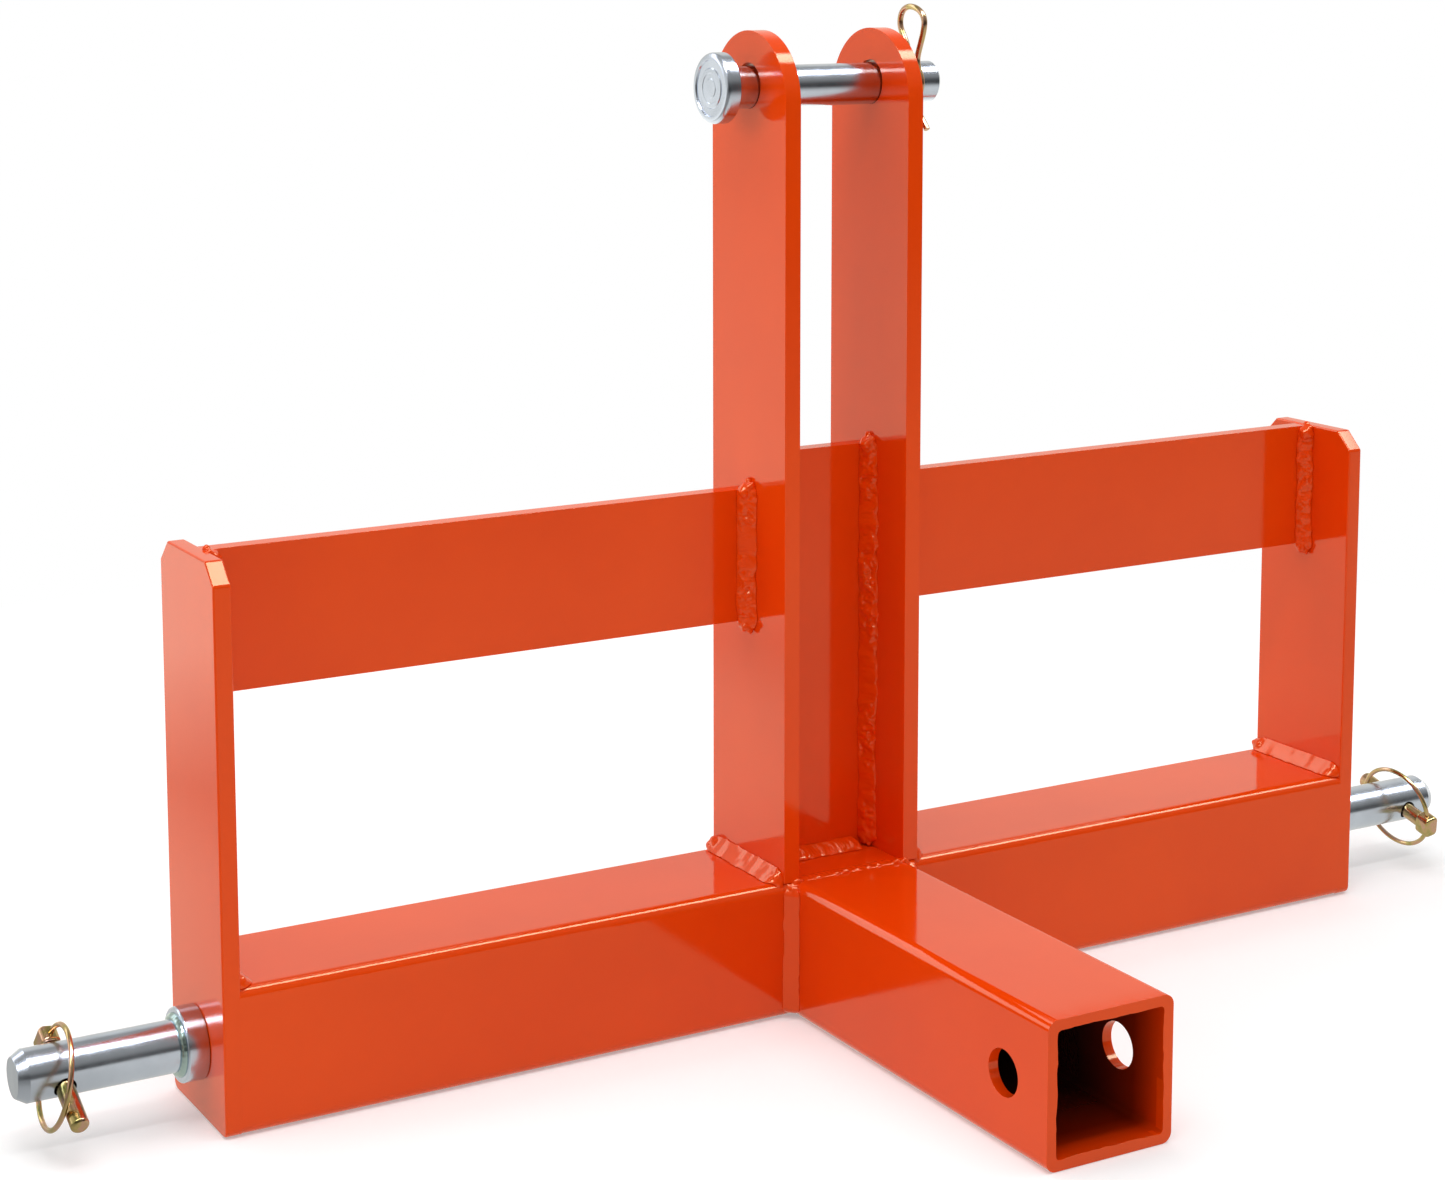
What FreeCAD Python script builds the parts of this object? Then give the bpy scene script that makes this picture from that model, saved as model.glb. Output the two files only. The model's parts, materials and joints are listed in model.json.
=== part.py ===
import FreeCAD, Part
import math
import os
import Sketcher
from FreeCAD import Placement, Rotation, Vector

# Three point receiver hitch: a welded square-tube frame with a receiver socket in front,
# a two-bar mast for the top link, bolted lower link pins with linch pins, and a top link pin.
# Millimetres. +X is the tractor's right when seen from the receiver, -Y is where the receiver
# points and +Z is up. The origin is on the ground, under the middle of the cross tube.

doc = FreeCAD.newDocument("receiver_hitch")

# Driving dimensions: alias, value, what it measures
DIMENSIONS = [
    ("tube_size", 63.5, "outside width of the square tubes, also the width of the upright bars"),
    ("tube_wall", 4.8, "wall of the square tubes"),
    ("tube_corner", 6.0, "outside corner radius of the square tubes"),
    ("tube_inner_corner", 2.0, "inside corner radius of the square tubes"),
    ("cross_length", 598.0, "length of the cross tube between the end plates"),
    ("end_thickness", 8.0, "thickness of the end plates"),
    ("end_height", 242.0, "height of the end plates"),
    ("end_chamfer", 9.0, "chamfer on the two top corners of an end plate"),
    ("end_foot", 4.0, "radius on the two bottom corners of an end plate"),
    ("mast_gap", 57.2, "gap between the two mast bars"),
    ("mast_thickness", 8.0, "thickness of the mast bars"),
    ("pin_hole_height", 425.5, "height of the top link pin holes"),
    ("pin_hole_size", 20.6, "diameter of the top link pin holes"),
    ("mast_round_drop", 7.0, "how far the centre of the round mast top lies under the hole"),
    ("web_thickness", 8.0, "thickness of the web plate between the mast bars"),
    ("web_top", 257.0, "height of the top edge of the web plate"),
    ("rail_thickness", 8.0, "thickness of the two rails"),
    ("rail_width", 61.5, "height of the rail bars"),
    ("rail_drop", 0.5, "how far the rails lie under the top of the end plates"),
    ("plate_face", 0.0, "place along Y of the front face of the rails and the web"),
    ("receiver_length", 190.0, "length of the receiver tube"),
    ("receiver_hole", 20.0, "diameter of the cross holes for the hitch pin"),
    ("receiver_setback", 29.5, "distance of the cross holes from the mouth"),
    ("mouth_chamfer", 0.8, "dressed edge of the receiver mouth"),
    ("lower_pin_size", 22.2, "diameter of the lower link pins"),
    ("lower_pin_reach", 70.0, "length of a lower link pin beyond its collar"),
    ("lower_pin_nose", 3.5, "length of the chamfer on the end of a lower link pin"),
    ("lower_pin_nose_depth", 2.8, "depth of that chamfer"),
    ("collar_size", 31.75, "diameter of the collars on the lower link pins"),
    ("collar_thickness", 9.5, "thickness of those collars"),
    ("collar_bead", 2.6, "leg of the fillet weld between collar and pin"),
    ("stud_size", 18.0, "diameter of the threaded tail of a lower link pin"),
    ("stud_tail", 3.0, "length of the tail beyond its nut"),
    ("nut_flats", 28.6, "width across flats of the nut inside the cross tube"),
    ("nut_height", 16.0, "height of that nut"),
    ("running_clearance", 0.05, "radial clearance of a turning or sliding fit"),
    ("linch_station", 51.0, "distance from the collar to the linch pin hole"),
    ("eased_edge", 0.6, "chamfer on the outer edge of a collar"),
    ("linch_hole", 9.5, "diameter of the linch pin hole"),
    ("linch_size", 7.9, "diameter of a linch pin"),
    ("linch_reach", 21.5, "how far a linch pin's tip reaches beyond the lower link pin"),
    ("linch_nose", 1.0, "chamfer on the tip of a linch pin"),
    ("linch_head_width", 11.2, "width of a linch pin's head along its cross hole"),
    ("linch_head_depth", 8.2, "thickness of that head between its two flats"),
    ("linch_head_length", 8.5, "length of that head along the pin"),
    ("linch_head_corner", 2.0, "radius on the four corners of that head, seen along the pin"),
    ("linch_seat", 0.3, "gap under the head when the linch pin is pushed home"),
    ("left_linch_slope", 25.0, "slope of the left linch pin under the horizontal, in degrees"),
    ("right_linch_slope", 15.0, "slope of the right linch pin, in degrees"),
    ("linch_spin", 11.0, "how far the linch pins have turned about their own axes, in degrees"),
    ("right_linch_out", 9.5, "how far the right linch pin has slid out of its seat"),
    ("ring_radius", 21.0, "radius of a linch ring at the middle of its wire"),
    ("ring_wire", 2.3, "wire of a linch ring"),
    ("ring_end_gap", 2.0, "gap between the two wire ends inside the head"),
    ("ring_shank_gap", 0.3, "gap between the shut ring and the linch pin"),
    ("top_pin_size", 19.05, "diameter of the top link pin"),
    ("top_pin_head", 32.0, "diameter of its head"),
    ("top_pin_head_thickness", 7.5, "thickness of its head"),
    ("top_pin_float", 12.7, "gap between the head and the left mast bar"),
    ("clip_float", 11.9, "gap between the hairpin and the right mast bar"),
    ("top_pin_tail", 12.6, "length of the top link pin beyond the hairpin"),
    ("top_pin_nose", 1.5, "chamfer on its free end"),
    ("head_ring_outer", 25.0, "outside diameter of the sunk ring in its head"),
    ("head_ring_inner", 17.0, "inside diameter of that sunk ring"),
    ("head_ring_depth", 0.7, "depth of that sunk ring"),
    ("head_rim", 2.4, "radius of the head's outer edge"),
    ("wire_sides", 6, "number of flats that stand for the round of a bent wire"),
    ("clip_wire", 2.8, "wire of the hairpin"),
    ("clip_hole", 3.8, "diameter of the hairpin's hole in the top link pin"),
    ("clip_hug_gap", 0.15, "gap between the top link pin and the hairpin's outer leg"),
    ("clip_hug_angle", 30.0, "half of the turn over which that leg hugs the pin, in degrees"),
    ("clip_leg_low", 22.0, "how far the hairpin's straight leg reaches under the pin's axis"),
    ("clip_leg_high", 13.0, "how far it stays straight over the pin's axis"),
    ("clip_loop_top", 34.8, "height of the hairpin's loop over the pin's axis"),
    ("clip_loop_side", 27.4, "height at which the loop is widest over the pin's axis"),
    ("clip_loop_back", 6.6, "how far the loop bulges behind the straight leg"),
    ("clip_loop_front", 12.9, "how far the loop bulges in front of it"),
    ("clip_waist", 3.6, "how far the outer leg pinches in over and under the pin"),
    ("clip_waist_height", 10.2, "height of those pinches over and under the pin's axis"),
    ("clip_tip_flare", 15.6, "distance of the outer leg's tip in front of the straight leg"),
    ("clip_tip_low", 21.2, "how far that tip lies under the pin's axis"),
    ("rail_bead_mast", 8.0, "leg of a rail's weld bead on the mast bar or end plate"),
    ("rail_bead_rail", 6.6, "leg of that bead on the rail"),
    ("web_bead_mast", 9.0, "leg of the web's weld bead on a mast bar"),
    ("web_bead_web", 5.0, "leg of that bead on the web"),
    ("foot_bead", 7.0, "legs of the weld beads on top of the cross tube"),
    ("web_foot_bead", 9.0, "leg of the web's foot bead on the cross tube"),
    ("receiver_bead", 7.0, "legs of the weld beads beside the receiver tube"),
    ("seam_overlap", 2.5, "how far the weld over a tube corner laps onto the flats beside it"),
    ("bead_crown", 0.8, "how far a weld bead bulges beyond a flat fillet"),
]

sheet = doc.addObject("Spreadsheet::Sheet", "Sizes")
for row, (alias, value, meaning) in enumerate(DIMENSIONS, start=1):
    sheet.set(f"A{row}", meaning)
    sheet.set(f"B{row}", str(value))
    sheet.setAlias(f"B{row}", alias)
doc.recompute()


def number(formula):
    """The value of a formula of the sheet."""
    return float(sheet.evalExpression(formula))


def new_body(name, x="0", y="0", z="0"):
    """A body named after its piece, placed by three formulas."""
    body = doc.addObject("PartDesign::Body", name)
    body.Label = name
    for axis, formula in (("x", x), ("y", y), ("z", z)):
        if formula != "0":
            body.setExpression(f"Placement.Base.{axis}", formula)
    return body


def new_sketch(body, name, role):
    """A sketch on one of the body's own origin planes."""
    sketch = body.newObject("Sketcher::SketchObject", name)
    plane = [o for o in body.Origin.OriginFeatures if o.Role == role][0]
    sketch.AttachmentSupport = (plane, [""])
    sketch.MapMode = "FlatFace"
    return sketch


def dimension(sketch, kind, geometry, formula):
    """A dimensional constraint on sketch geometry, tied to the sheet."""
    index = sketch.addConstraint(Sketcher.Constraint(kind, *geometry, number(formula)))
    sketch.setExpression(f"Constraints[{index}]", formula)


def hold_point(sketch, geo, pos, x, y):
    """Hold one sketch point at a place from the sketch's origin."""
    for kind, formula, axis in (("DistanceX", x, -2), ("DistanceY", y, -1)):
        if formula == "0":
            sketch.addConstraint(Sketcher.Constraint("PointOnObject", geo, pos, axis))
        else:
            dimension(sketch, kind, (-1, 1, geo, pos), formula)


def rectangle(sketch, x, y, width, height):
    """A rectangle from four formulas: its lower left corner, width and height."""
    left, low = number(x), number(y)
    right, high = left + number(width), low + number(height)
    corners = [Vector(left, low, 0), Vector(right, low, 0), Vector(right, high, 0), Vector(left, high, 0)]
    first = sketch.GeometryCount
    for start, end in zip(corners, corners[1:] + corners[:1]):
        sketch.addGeometry(Part.LineSegment(start, end), False)
    for side in range(4):
        following = first + (side + 1) % 4
        sketch.addConstraint(Sketcher.Constraint("Coincident", first + side, 2, following, 1))
        direction = "Horizontal" if side % 2 == 0 else "Vertical"
        sketch.addConstraint(Sketcher.Constraint(direction, first + side))
    hold_point(sketch, first, 1, x, y)
    dimension(sketch, "DistanceX", (first, 1, first, 2), width)
    dimension(sketch, "DistanceY", (first + 1, 1, first + 1, 2), height)


def circle(sketch, x, y, radius):
    """A circle from three formulas: its centre and radius."""
    shape = Part.Circle(Vector(number(x), number(y), 0), Vector(0, 0, 1), number(radius))
    geo = sketch.addGeometry(shape, False)
    hold_point(sketch, geo, 3, x, y)
    dimension(sketch, "Radius", (geo,), radius)


def polygon(sketch, points):
    """A closed outline from pairs of formulas, each corner held where they say."""
    corners = [Vector(number(x), number(y), 0) for x, y in points]
    first = sketch.GeometryCount
    count = len(corners)
    for start, end in zip(corners, corners[1:] + corners[:1]):
        sketch.addGeometry(Part.LineSegment(start, end), False)
    for side in range(count):
        following = first + (side + 1) % count
        sketch.addConstraint(Sketcher.Constraint("Coincident", first + side, 2, following, 1))
    for side, (x, y) in enumerate(points):
        hold_point(sketch, first + side, 1, x, y)


def pad(body, name, sketch, length, symmetric=False, reverse=False):
    """Extrude a sketch into the body."""
    feature = body.newObject("PartDesign::Pad", name)
    feature.Profile = sketch
    feature.SideType = "Symmetric" if symmetric else "One side"
    feature.Reversed = reverse
    feature.setExpression("Length", length)
    doc.recompute()
    return feature


def through_cut(body, name, sketch):
    """Cut a sketch through all of the body, both ways, and make sure that it cut."""
    before = body.Shape.Volume
    feature = body.newObject("PartDesign::Pocket", name)
    feature.Profile = sketch
    feature.SideType = "Symmetric"
    feature.Type = "ThroughAll"
    doc.recompute()
    if body.Shape.Volume >= before:
        raise RuntimeError(f"{body.Label}: {name} cuts nothing")
    return feature


def revolve(body, name, sketch, axis_role):
    """Turn a sketch once round one of the body's origin axes."""
    feature = body.newObject("PartDesign::Revolution", name)
    feature.Profile = sketch
    axis = [o for o in body.Origin.OriginFeatures if o.Role == axis_role][0]
    feature.ReferenceAxis = (axis, [""])
    feature.Angle = 360
    doc.recompute()
    return feature


def edges_where(feature, test):
    """Names of a feature's edges that pass a test."""
    return [f"Edge{i}" for i, edge in enumerate(feature.Shape.Edges, start=1) if test(edge)]


def dress(body, name, kind, base, edges, formula):
    """A Fillet or Chamfer on named edges of a feature."""
    feature = body.newObject(f"PartDesign::{kind}", name)
    feature.Base = (base, edges)
    feature.setExpression("Radius" if kind == "Fillet" else "Size", formula)
    doc.recompute()
    return feature


def runs_along(edge, axis):
    """True for a straight edge that is parallel to axis."""
    if edge.Curve.TypeId != "Part::GeomLine":
        return False
    return abs(edge.tangentAt(edge.FirstParameter).dot(axis)) > 0.999


X_AXIS = Vector(1, 0, 0)
Y_AXIS = Vector(0, 1, 0)
Z_AXIS = Vector(0, 0, 1)

# Formulas that many pieces share
T = "Sizes.tube_size"
HALF_T = "Sizes.tube_size / 2"
END_FACE = "(Sizes.cross_length / 2 + Sizes.end_thickness)"
MAST_FACE = "(Sizes.mast_gap / 2 + Sizes.mast_thickness)"
RAIL_TOP = "(Sizes.end_height - Sizes.rail_drop)"
RAIL_LOW = "(Sizes.end_height - Sizes.rail_drop - Sizes.rail_width)"


# Square tubes

def tube_section(sketch):
    """The square tube's outline and its hollow, standing on the ground."""
    hollow = f"{T} - 2 * Sizes.tube_wall"
    rectangle(sketch, f"-{HALF_T}", "0", T, T)
    rectangle(sketch, f"Sizes.tube_wall - {HALF_T}", "Sizes.tube_wall", hollow, hollow)


def corner_edges(feature, axis, reach):
    """A tube's four edges along an axis that lie at one reach from its middle."""
    def test(edge):
        side = edge.CenterOfMass.x if axis == Y_AXIS else edge.CenterOfMass.y
        rise = edge.CenterOfMass.z - number(HALF_T)
        return runs_along(edge, axis) and abs(abs(side) - reach) < 0.01 and abs(abs(rise) - reach) < 0.01
    return edges_where(feature, test)


def round_tube(body, run, axis):
    """Round a tube's outside and inside corners."""
    outside = corner_edges(run, axis, number(HALF_T))
    outer = dress(body, "outer_corners", "Fillet", run, outside, "Sizes.tube_corner")
    inner = corner_edges(outer, axis, number(f"{HALF_T} - Sizes.tube_wall"))
    dress(body, "inner_corners", "Fillet", outer, inner, "Sizes.tube_inner_corner")


def cross_tube():
    """The square tube that runs from end plate to end plate."""
    body = new_body("cross_tube")
    section = new_sketch(body, "section", "YZ_Plane")
    tube_section(section)
    run = pad(body, "run", section, "Sizes.cross_length", symmetric=True)
    round_tube(body, run, X_AXIS)


def receiver_tube():
    """The socket tube, butted against the front of the cross tube, with its hitch pin holes."""
    body = new_body("receiver_tube", y=f"-{HALF_T}")
    section = new_sketch(body, "section", "XZ_Plane")
    tube_section(section)
    run = pad(body, "run", section, "Sizes.receiver_length")
    round_tube(body, run, Y_AXIS)
    mouth = number("-Sizes.receiver_length")
    rims = edges_where(body.Tip, lambda e: e.BoundBox.YMax < mouth + 0.01)
    dress(body, "mouth_edges", "Chamfer", body.Tip, rims, "Sizes.mouth_chamfer")
    holes = new_sketch(body, "hitch_pin_circle", "YZ_Plane")
    circle(holes, "Sizes.receiver_setback - Sizes.receiver_length", HALF_T, "Sizes.receiver_hole / 2")
    through_cut(body, "hitch_pin_holes", holes)


# Flat bars

def end_plate(side, sign):
    """A flat bar that closes one end of the cross tube and carries a lower link pin."""
    body = new_body(f"{side}_end_plate", x=f"{sign}(Sizes.cross_length / 2 + Sizes.end_thickness / 2)")
    outline = new_sketch(body, "outline", "YZ_Plane")
    rectangle(outline, f"-{HALF_T}", "0", T, "Sizes.end_height")
    bar = pad(body, "bar", outline, "Sizes.end_thickness", symmetric=True)
    height = number("Sizes.end_height")
    top = edges_where(bar, lambda e: runs_along(e, X_AXIS) and e.CenterOfMass.z > height - 0.01)
    cropped = dress(body, "top_corners", "Chamfer", bar, top, "Sizes.end_chamfer")
    foot = edges_where(cropped, lambda e: runs_along(e, X_AXIS) and e.CenterOfMass.z < 0.01)
    dress(body, "foot_corners", "Fillet", cropped, foot, "Sizes.end_foot")
    stud = new_sketch(body, "stud_circle", "YZ_Plane")
    circle(stud, "0", HALF_T, "Sizes.stud_size / 2 + Sizes.running_clearance")
    through_cut(body, "stud_bore", stud)


def mast_bar(side, sign):
    """An upright bar on the cross tube, with a full round top and the top link pin's hole."""
    body = new_body(f"{side}_mast_bar", x=f"{sign}(Sizes.mast_gap / 2 + Sizes.mast_thickness / 2)")
    outline = new_sketch(body, "outline", "YZ_Plane")
    crown = "Sizes.pin_hole_height - Sizes.mast_round_drop"
    half, low, high = number(HALF_T), number(T), number(crown)
    corners = [Vector(-half, high, 0), Vector(-half, low, 0), Vector(half, low, 0), Vector(half, high, 0)]
    for start, end in zip(corners, corners[1:]):
        outline.addGeometry(Part.LineSegment(start, end), False)
    top = Part.Circle(Vector(0, high, 0), Vector(0, 0, 1), half)
    outline.addGeometry(Part.ArcOfCircle(top, 0, math.pi), False)
    left, foot, right, arc = range(4)
    start, end, centre = 1, 2, 3
    outline.addConstraint(Sketcher.Constraint("Coincident", left, end, foot, start))
    outline.addConstraint(Sketcher.Constraint("Coincident", foot, end, right, start))
    outline.addConstraint(Sketcher.Constraint("Tangent", right, end, arc, start))
    outline.addConstraint(Sketcher.Constraint("Tangent", arc, end, left, start))
    outline.addConstraint(Sketcher.Constraint("Horizontal", foot))
    outline.addConstraint(Sketcher.Constraint("Vertical", left))
    outline.addConstraint(Sketcher.Constraint("Vertical", right))
    hold_point(outline, foot, start, f"-{HALF_T}", T)
    dimension(outline, "DistanceX", (foot, start, foot, end), T)
    dimension(outline, "DistanceY", (-1, 1, arc, centre), crown)
    pad(body, "bar", outline, "Sizes.mast_thickness", symmetric=True)
    hole = new_sketch(body, "pin_circle", "YZ_Plane")
    circle(hole, "0", "Sizes.pin_hole_height", "Sizes.pin_hole_size / 2")
    through_cut(body, "pin_hole", hole)


def upright_plate(name, x, z, width, height, thickness):
    """A flat plate across the hitch, its front face on the common plane of rails and web."""
    body = new_body(name, y="Sizes.plate_face")
    outline = new_sketch(body, "outline", "XZ_Plane")
    rectangle(outline, x, z, width, height)
    pad(body, "plate", outline, thickness, reverse=True)


def rails_and_web():
    """The web between the mast bars and the two rails out to the end plates."""
    gap, height = "Sizes.mast_gap", f"Sizes.web_top - {T}"
    upright_plate("mast_web_plate", f"-{gap} / 2", T, gap, height, "Sizes.web_thickness")
    run = f"Sizes.cross_length / 2 - {MAST_FACE}"
    for side, start in (("left", "-Sizes.cross_length / 2"), ("right", MAST_FACE)):
        upright_plate(f"{side}_rail", start, RAIL_LOW, run, "Sizes.rail_width", "Sizes.rail_thickness")


# Lower link pins: a turned pin with a welded collar, screwed into a nut inside the cross tube

COLLAR_FACE = f"({END_FACE} + Sizes.collar_thickness)"
PIN_TIP = f"({COLLAR_FACE} + Sizes.lower_pin_reach)"
LINCH_X = f"({COLLAR_FACE} + Sizes.linch_station)"
STUD_END = "(Sizes.cross_length / 2 - Sizes.nut_height - Sizes.stud_tail)"
BEAD_BULGE = 0.62  # share of its legs at which the middle of the small round bead lies


def outward(side, formula):
    """A formula for X, measured outward on one side of the hitch."""
    return f"-{formula}" if side == "left" else formula


def turned_pin(body, side, profile):
    """Revolve a half profile, given as (distance out along X, radius) formulas."""
    sketch = new_sketch(body, "half_profile", "XZ_Plane")
    polygon(sketch, [(outward(side, x), r) for x, r in profile])
    return revolve(body, "turned", sketch, "X_Axis")


def lower_link_pin(side, angle):
    """A lower link pin with a chamfered nose, a linch pin hole and a reduced threaded tail."""
    body = new_body(f"{side}_lower_pin", z=HALF_T)
    radius = "Sizes.lower_pin_size / 2"
    stud = "Sizes.stud_size / 2"
    turned_pin(body, side, [
        (STUD_END, "0"),
        (STUD_END, stud),
        (END_FACE, stud),
        (END_FACE, radius),
        (f"({PIN_TIP} - Sizes.lower_pin_nose)", radius),
        (PIN_TIP, f"{radius} - Sizes.lower_pin_nose_depth"),
        (PIN_TIP, "0"),
    ])
    hole = new_sketch(body, "linch_circle", "XY_Plane")
    hole.AttachmentOffset = Placement(Vector(0, 0, 0), Rotation(X_AXIS, angle))
    circle(hole, outward(side, LINCH_X), "0", "Sizes.linch_hole / 2")
    through_cut(body, "linch_bore", hole)


def collar(side):
    """The shoulder collar of a lower link pin, with its outer edge eased."""
    body = new_body(f"{side}_pin_collar", z=HALF_T)
    bore = "Sizes.lower_pin_size / 2"
    rim = "Sizes.collar_size / 2"
    ease = "Sizes.eased_edge"
    turned_pin(body, side, [
        (END_FACE, bore),
        (END_FACE, rim),
        (f"({COLLAR_FACE} - {ease})", rim),
        (COLLAR_FACE, f"{rim} - {ease}"),
        (COLLAR_FACE, bore),
    ])


def collar_weld(side):
    """The ring of fillet weld between a collar's outer face and the pin."""
    body = new_body(f"{side}_collar_weld", z=HALF_T)
    bore = "Sizes.lower_pin_size / 2"
    leg = "Sizes.collar_bead"
    bulge = f"{leg} * {BEAD_BULGE}"
    turned_pin(body, side, [
        (COLLAR_FACE, bore),
        (COLLAR_FACE, f"{bore} + {leg}"),
        (f"({COLLAR_FACE} + {bulge})", f"{bore} + {bulge}"),
        (f"({COLLAR_FACE} + {leg})", bore),
    ])


def stud_nut(side):
    """The hexagon nut that is welded inside the end plate for the pin's tail."""
    centre = "Sizes.cross_length / 2 - Sizes.nut_height / 2"
    body = new_body(f"{side}_stud_nut", x=outward(side, f"({centre})"), z=HALF_T)
    outline = new_sketch(body, "hexagon", "YZ_Plane")
    across = "Sizes.nut_flats / sqrt(3)"
    polygon(outline, [(f"{across} * cos({60 * k} deg)", f"{across} * sin({60 * k} deg)") for k in range(6)])
    pad(body, "nut", outline, "Sizes.nut_height", symmetric=True)
    thread = new_sketch(body, "thread_circle", "YZ_Plane")
    circle(thread, "0", "0", "Sizes.stud_size / 2")
    through_cut(body, "thread_bore", thread)


# Linch pins. Each is modelled upright, head up, with its axis through the hitch's lower link
# pin, and then turned about X to its slope. "rise" is measured up the linch pin's axis.

HEAD_UNDER = "(Sizes.lower_pin_size / 2 + Sizes.linch_seat)"
HOLE_RISE = f"({HEAD_UNDER} + Sizes.linch_head_length / 2)"


def seat_linch(obj, side, angle, slide):
    """Place an upright linch piece in its hole: spun about its own axis, turned about X and slid."""
    x = number(outward(side, LINCH_X))
    spin = Rotation(Z_AXIS, number("Sizes.linch_spin"))
    turn = Rotation(X_AXIS, angle).multiply(spin)
    shift = turn.multVec(Vector(0, 0, slide))
    seat = Placement(Vector(x, 0, number(HALF_T)) + shift, turn)
    obj.Placement = seat.multiply(obj.Placement)


def bent_wire(path, start, along, across, size):
    """A wire along a path, which starts at a point and runs along one way there."""
    sides = round(number("Sizes.wire_sides"))
    aside = along.cross(across)
    section = []
    for side in range(sides + 1):
        angle = 2 * math.pi * side / sides
        section.append(start + (across * math.cos(angle) + aside * math.sin(angle)) * (size / 2))
    # The last argument makes the wire's corners round
    return Part.Wire(path).makePipeShell([Part.makePolygon(section)], True, False, 2)


def linch_pin(side, angle, slide):
    """A linch pin: a chamfered shank under a two-flat head with a cross hole for its ring."""
    body = new_body(f"{side}_linch_pin")
    profile = new_sketch(body, "half_profile", "XZ_Plane")
    radius = "Sizes.linch_size / 2"
    low = "-(Sizes.lower_pin_size / 2 + Sizes.linch_reach)"
    polygon(profile, [
        ("0", low),
        (f"{radius} - Sizes.linch_nose", low),
        (radius, f"{low} + Sizes.linch_nose"),
        (radius, HOLE_RISE),
        ("0", HOLE_RISE),
    ])
    revolve(body, "shank", profile, "Z_Axis")
    face = new_sketch(body, "head_outline", "YZ_Plane")
    width = "Sizes.linch_head_width"
    rectangle(face, f"-{width} / 2", HEAD_UNDER, width, "Sizes.linch_head_length")
    head = pad(body, "head", face, "Sizes.linch_head_depth", symmetric=True)
    wide = number(f"{width} / 2")
    corners = edges_where(head, lambda e: runs_along(e, Z_AXIS) and abs(abs(e.CenterOfMass.y) - wide) < 0.01)
    dress(body, "head_corners", "Fillet", head, corners, "Sizes.linch_head_corner")
    hole = new_sketch(body, "ring_circle", "XZ_Plane")
    circle(hole, "0", HOLE_RISE, "Sizes.ring_wire / 2 + Sizes.running_clearance")
    through_cut(body, "ring_hole", hole)
    seat_linch(body, side, angle, slide)


def linch_ring(side, angle, slide):
    """A sprung ring: an open circle of wire whose two ends lie in the head's cross hole."""
    radius = number("Sizes.ring_radius")
    mouth = number("Sizes.linch_head_width / 2 + Sizes.running_clearance")
    middle = math.sqrt(radius ** 2 - mouth ** 2)
    half_gap = number("Sizes.ring_end_gap / 2")
    start, left, right, end = (Vector(0, y, 0) for y in (half_gap, mouth, -mouth, -half_gap))
    path = [
        Part.LineSegment(start, left).toShape(),
        Part.Arc(left, Vector(0, 0, -middle - radius), right).toShape(),
        Part.LineSegment(right, end).toShape(),
    ]
    ring = bent_wire(path, start, Y_AXIS, X_AXIS, number("Sizes.ring_wire"))
    beside = number("Sizes.linch_size / 2 + Sizes.ring_wire / 2 + Sizes.ring_shank_gap")
    lean = math.degrees(math.asin(beside / (middle + radius)))
    ring.rotate(Vector(0, 0, 0), Y_AXIS, lean if side == "left" else -lean)
    ring.translate(Vector(0, 0, number(HOLE_RISE)))
    obj = doc.addObject("Part::Feature", f"{side}_linch_ring")
    obj.Label = f"{side}_linch_ring"
    obj.Shape = ring
    seat_linch(obj, side, angle, slide)


# The top link pin lies in the bottom of its two holes

PIN_DROP = "((Sizes.pin_hole_size - Sizes.top_pin_size) / 2 - Sizes.running_clearance)"
TOP_PIN_HEIGHT = f"(Sizes.pin_hole_height - {PIN_DROP})"
HEAD_FACE = f"({MAST_FACE} + Sizes.top_pin_float)"
CLIP_X = f"({MAST_FACE} + Sizes.clip_float + Sizes.clip_wire / 2)"


def top_link_pin():
    """The top link pin: a round bar with a flat head on the left and a hairpin hole on the right."""
    body = new_body("top_pin", z=TOP_PIN_HEIGHT)
    radius = "Sizes.top_pin_size / 2"
    rim = "Sizes.top_pin_head / 2"
    end = f"({CLIP_X} + Sizes.top_pin_tail)"
    back = f"-({HEAD_FACE} + Sizes.top_pin_head_thickness)"
    ease = "Sizes.head_rim"
    rounded_rim = [
        (f"{back} + {ease} * (1 - cos({turn} deg))", f"{rim} - {ease} * (1 - sin({turn} deg))")
        for turn in (0, 30, 60, 90)
    ]
    profile = new_sketch(body, "half_profile", "XZ_Plane")
    polygon(profile, [
        (back, "0"),
        (back, "Sizes.head_ring_inner / 2"),
        (f"{back} + Sizes.head_ring_depth", "Sizes.head_ring_inner / 2"),
        (f"{back} + Sizes.head_ring_depth", "Sizes.head_ring_outer / 2"),
        (back, "Sizes.head_ring_outer / 2"),
        *rounded_rim,
        (f"-{HEAD_FACE}", rim),
        (f"-{HEAD_FACE}", radius),
        (f"{end} - Sizes.top_pin_nose", radius),
        (end, f"{radius} - Sizes.top_pin_nose"),
        (end, "0"),
    ])
    revolve(body, "turned", profile, "X_Axis")
    hole = new_sketch(body, "clip_circle", "XY_Plane")
    circle(hole, CLIP_X, "0", "Sizes.clip_hole / 2")
    through_cut(body, "clip_bore", hole)


def way(y, z):
    """A unit heading in the YZ plane."""
    return Vector(0, y, z).normalize()


def arc_middle(point, heading, other):
    """The middle of the arc through two points that runs along a heading at the first."""
    chord = other - point
    along = chord * (heading.dot(chord) / chord.dot(chord))
    across = heading - along
    if across.Length < 1e-9:
        return None
    turn = math.atan2(across.Length, heading.dot(chord) / chord.Length)
    return (point + other) * 0.5 + across.normalize() * (chord.Length / 2 * math.tan(turn / 2))


def run_or_arc(start, middle, end):
    """An edge between two points: an arc through the middle one, or a straight run without it."""
    if middle is None:
        return Part.LineSegment(start, end).toShape()
    return Part.Arc(start, middle, end).toShape()


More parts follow.
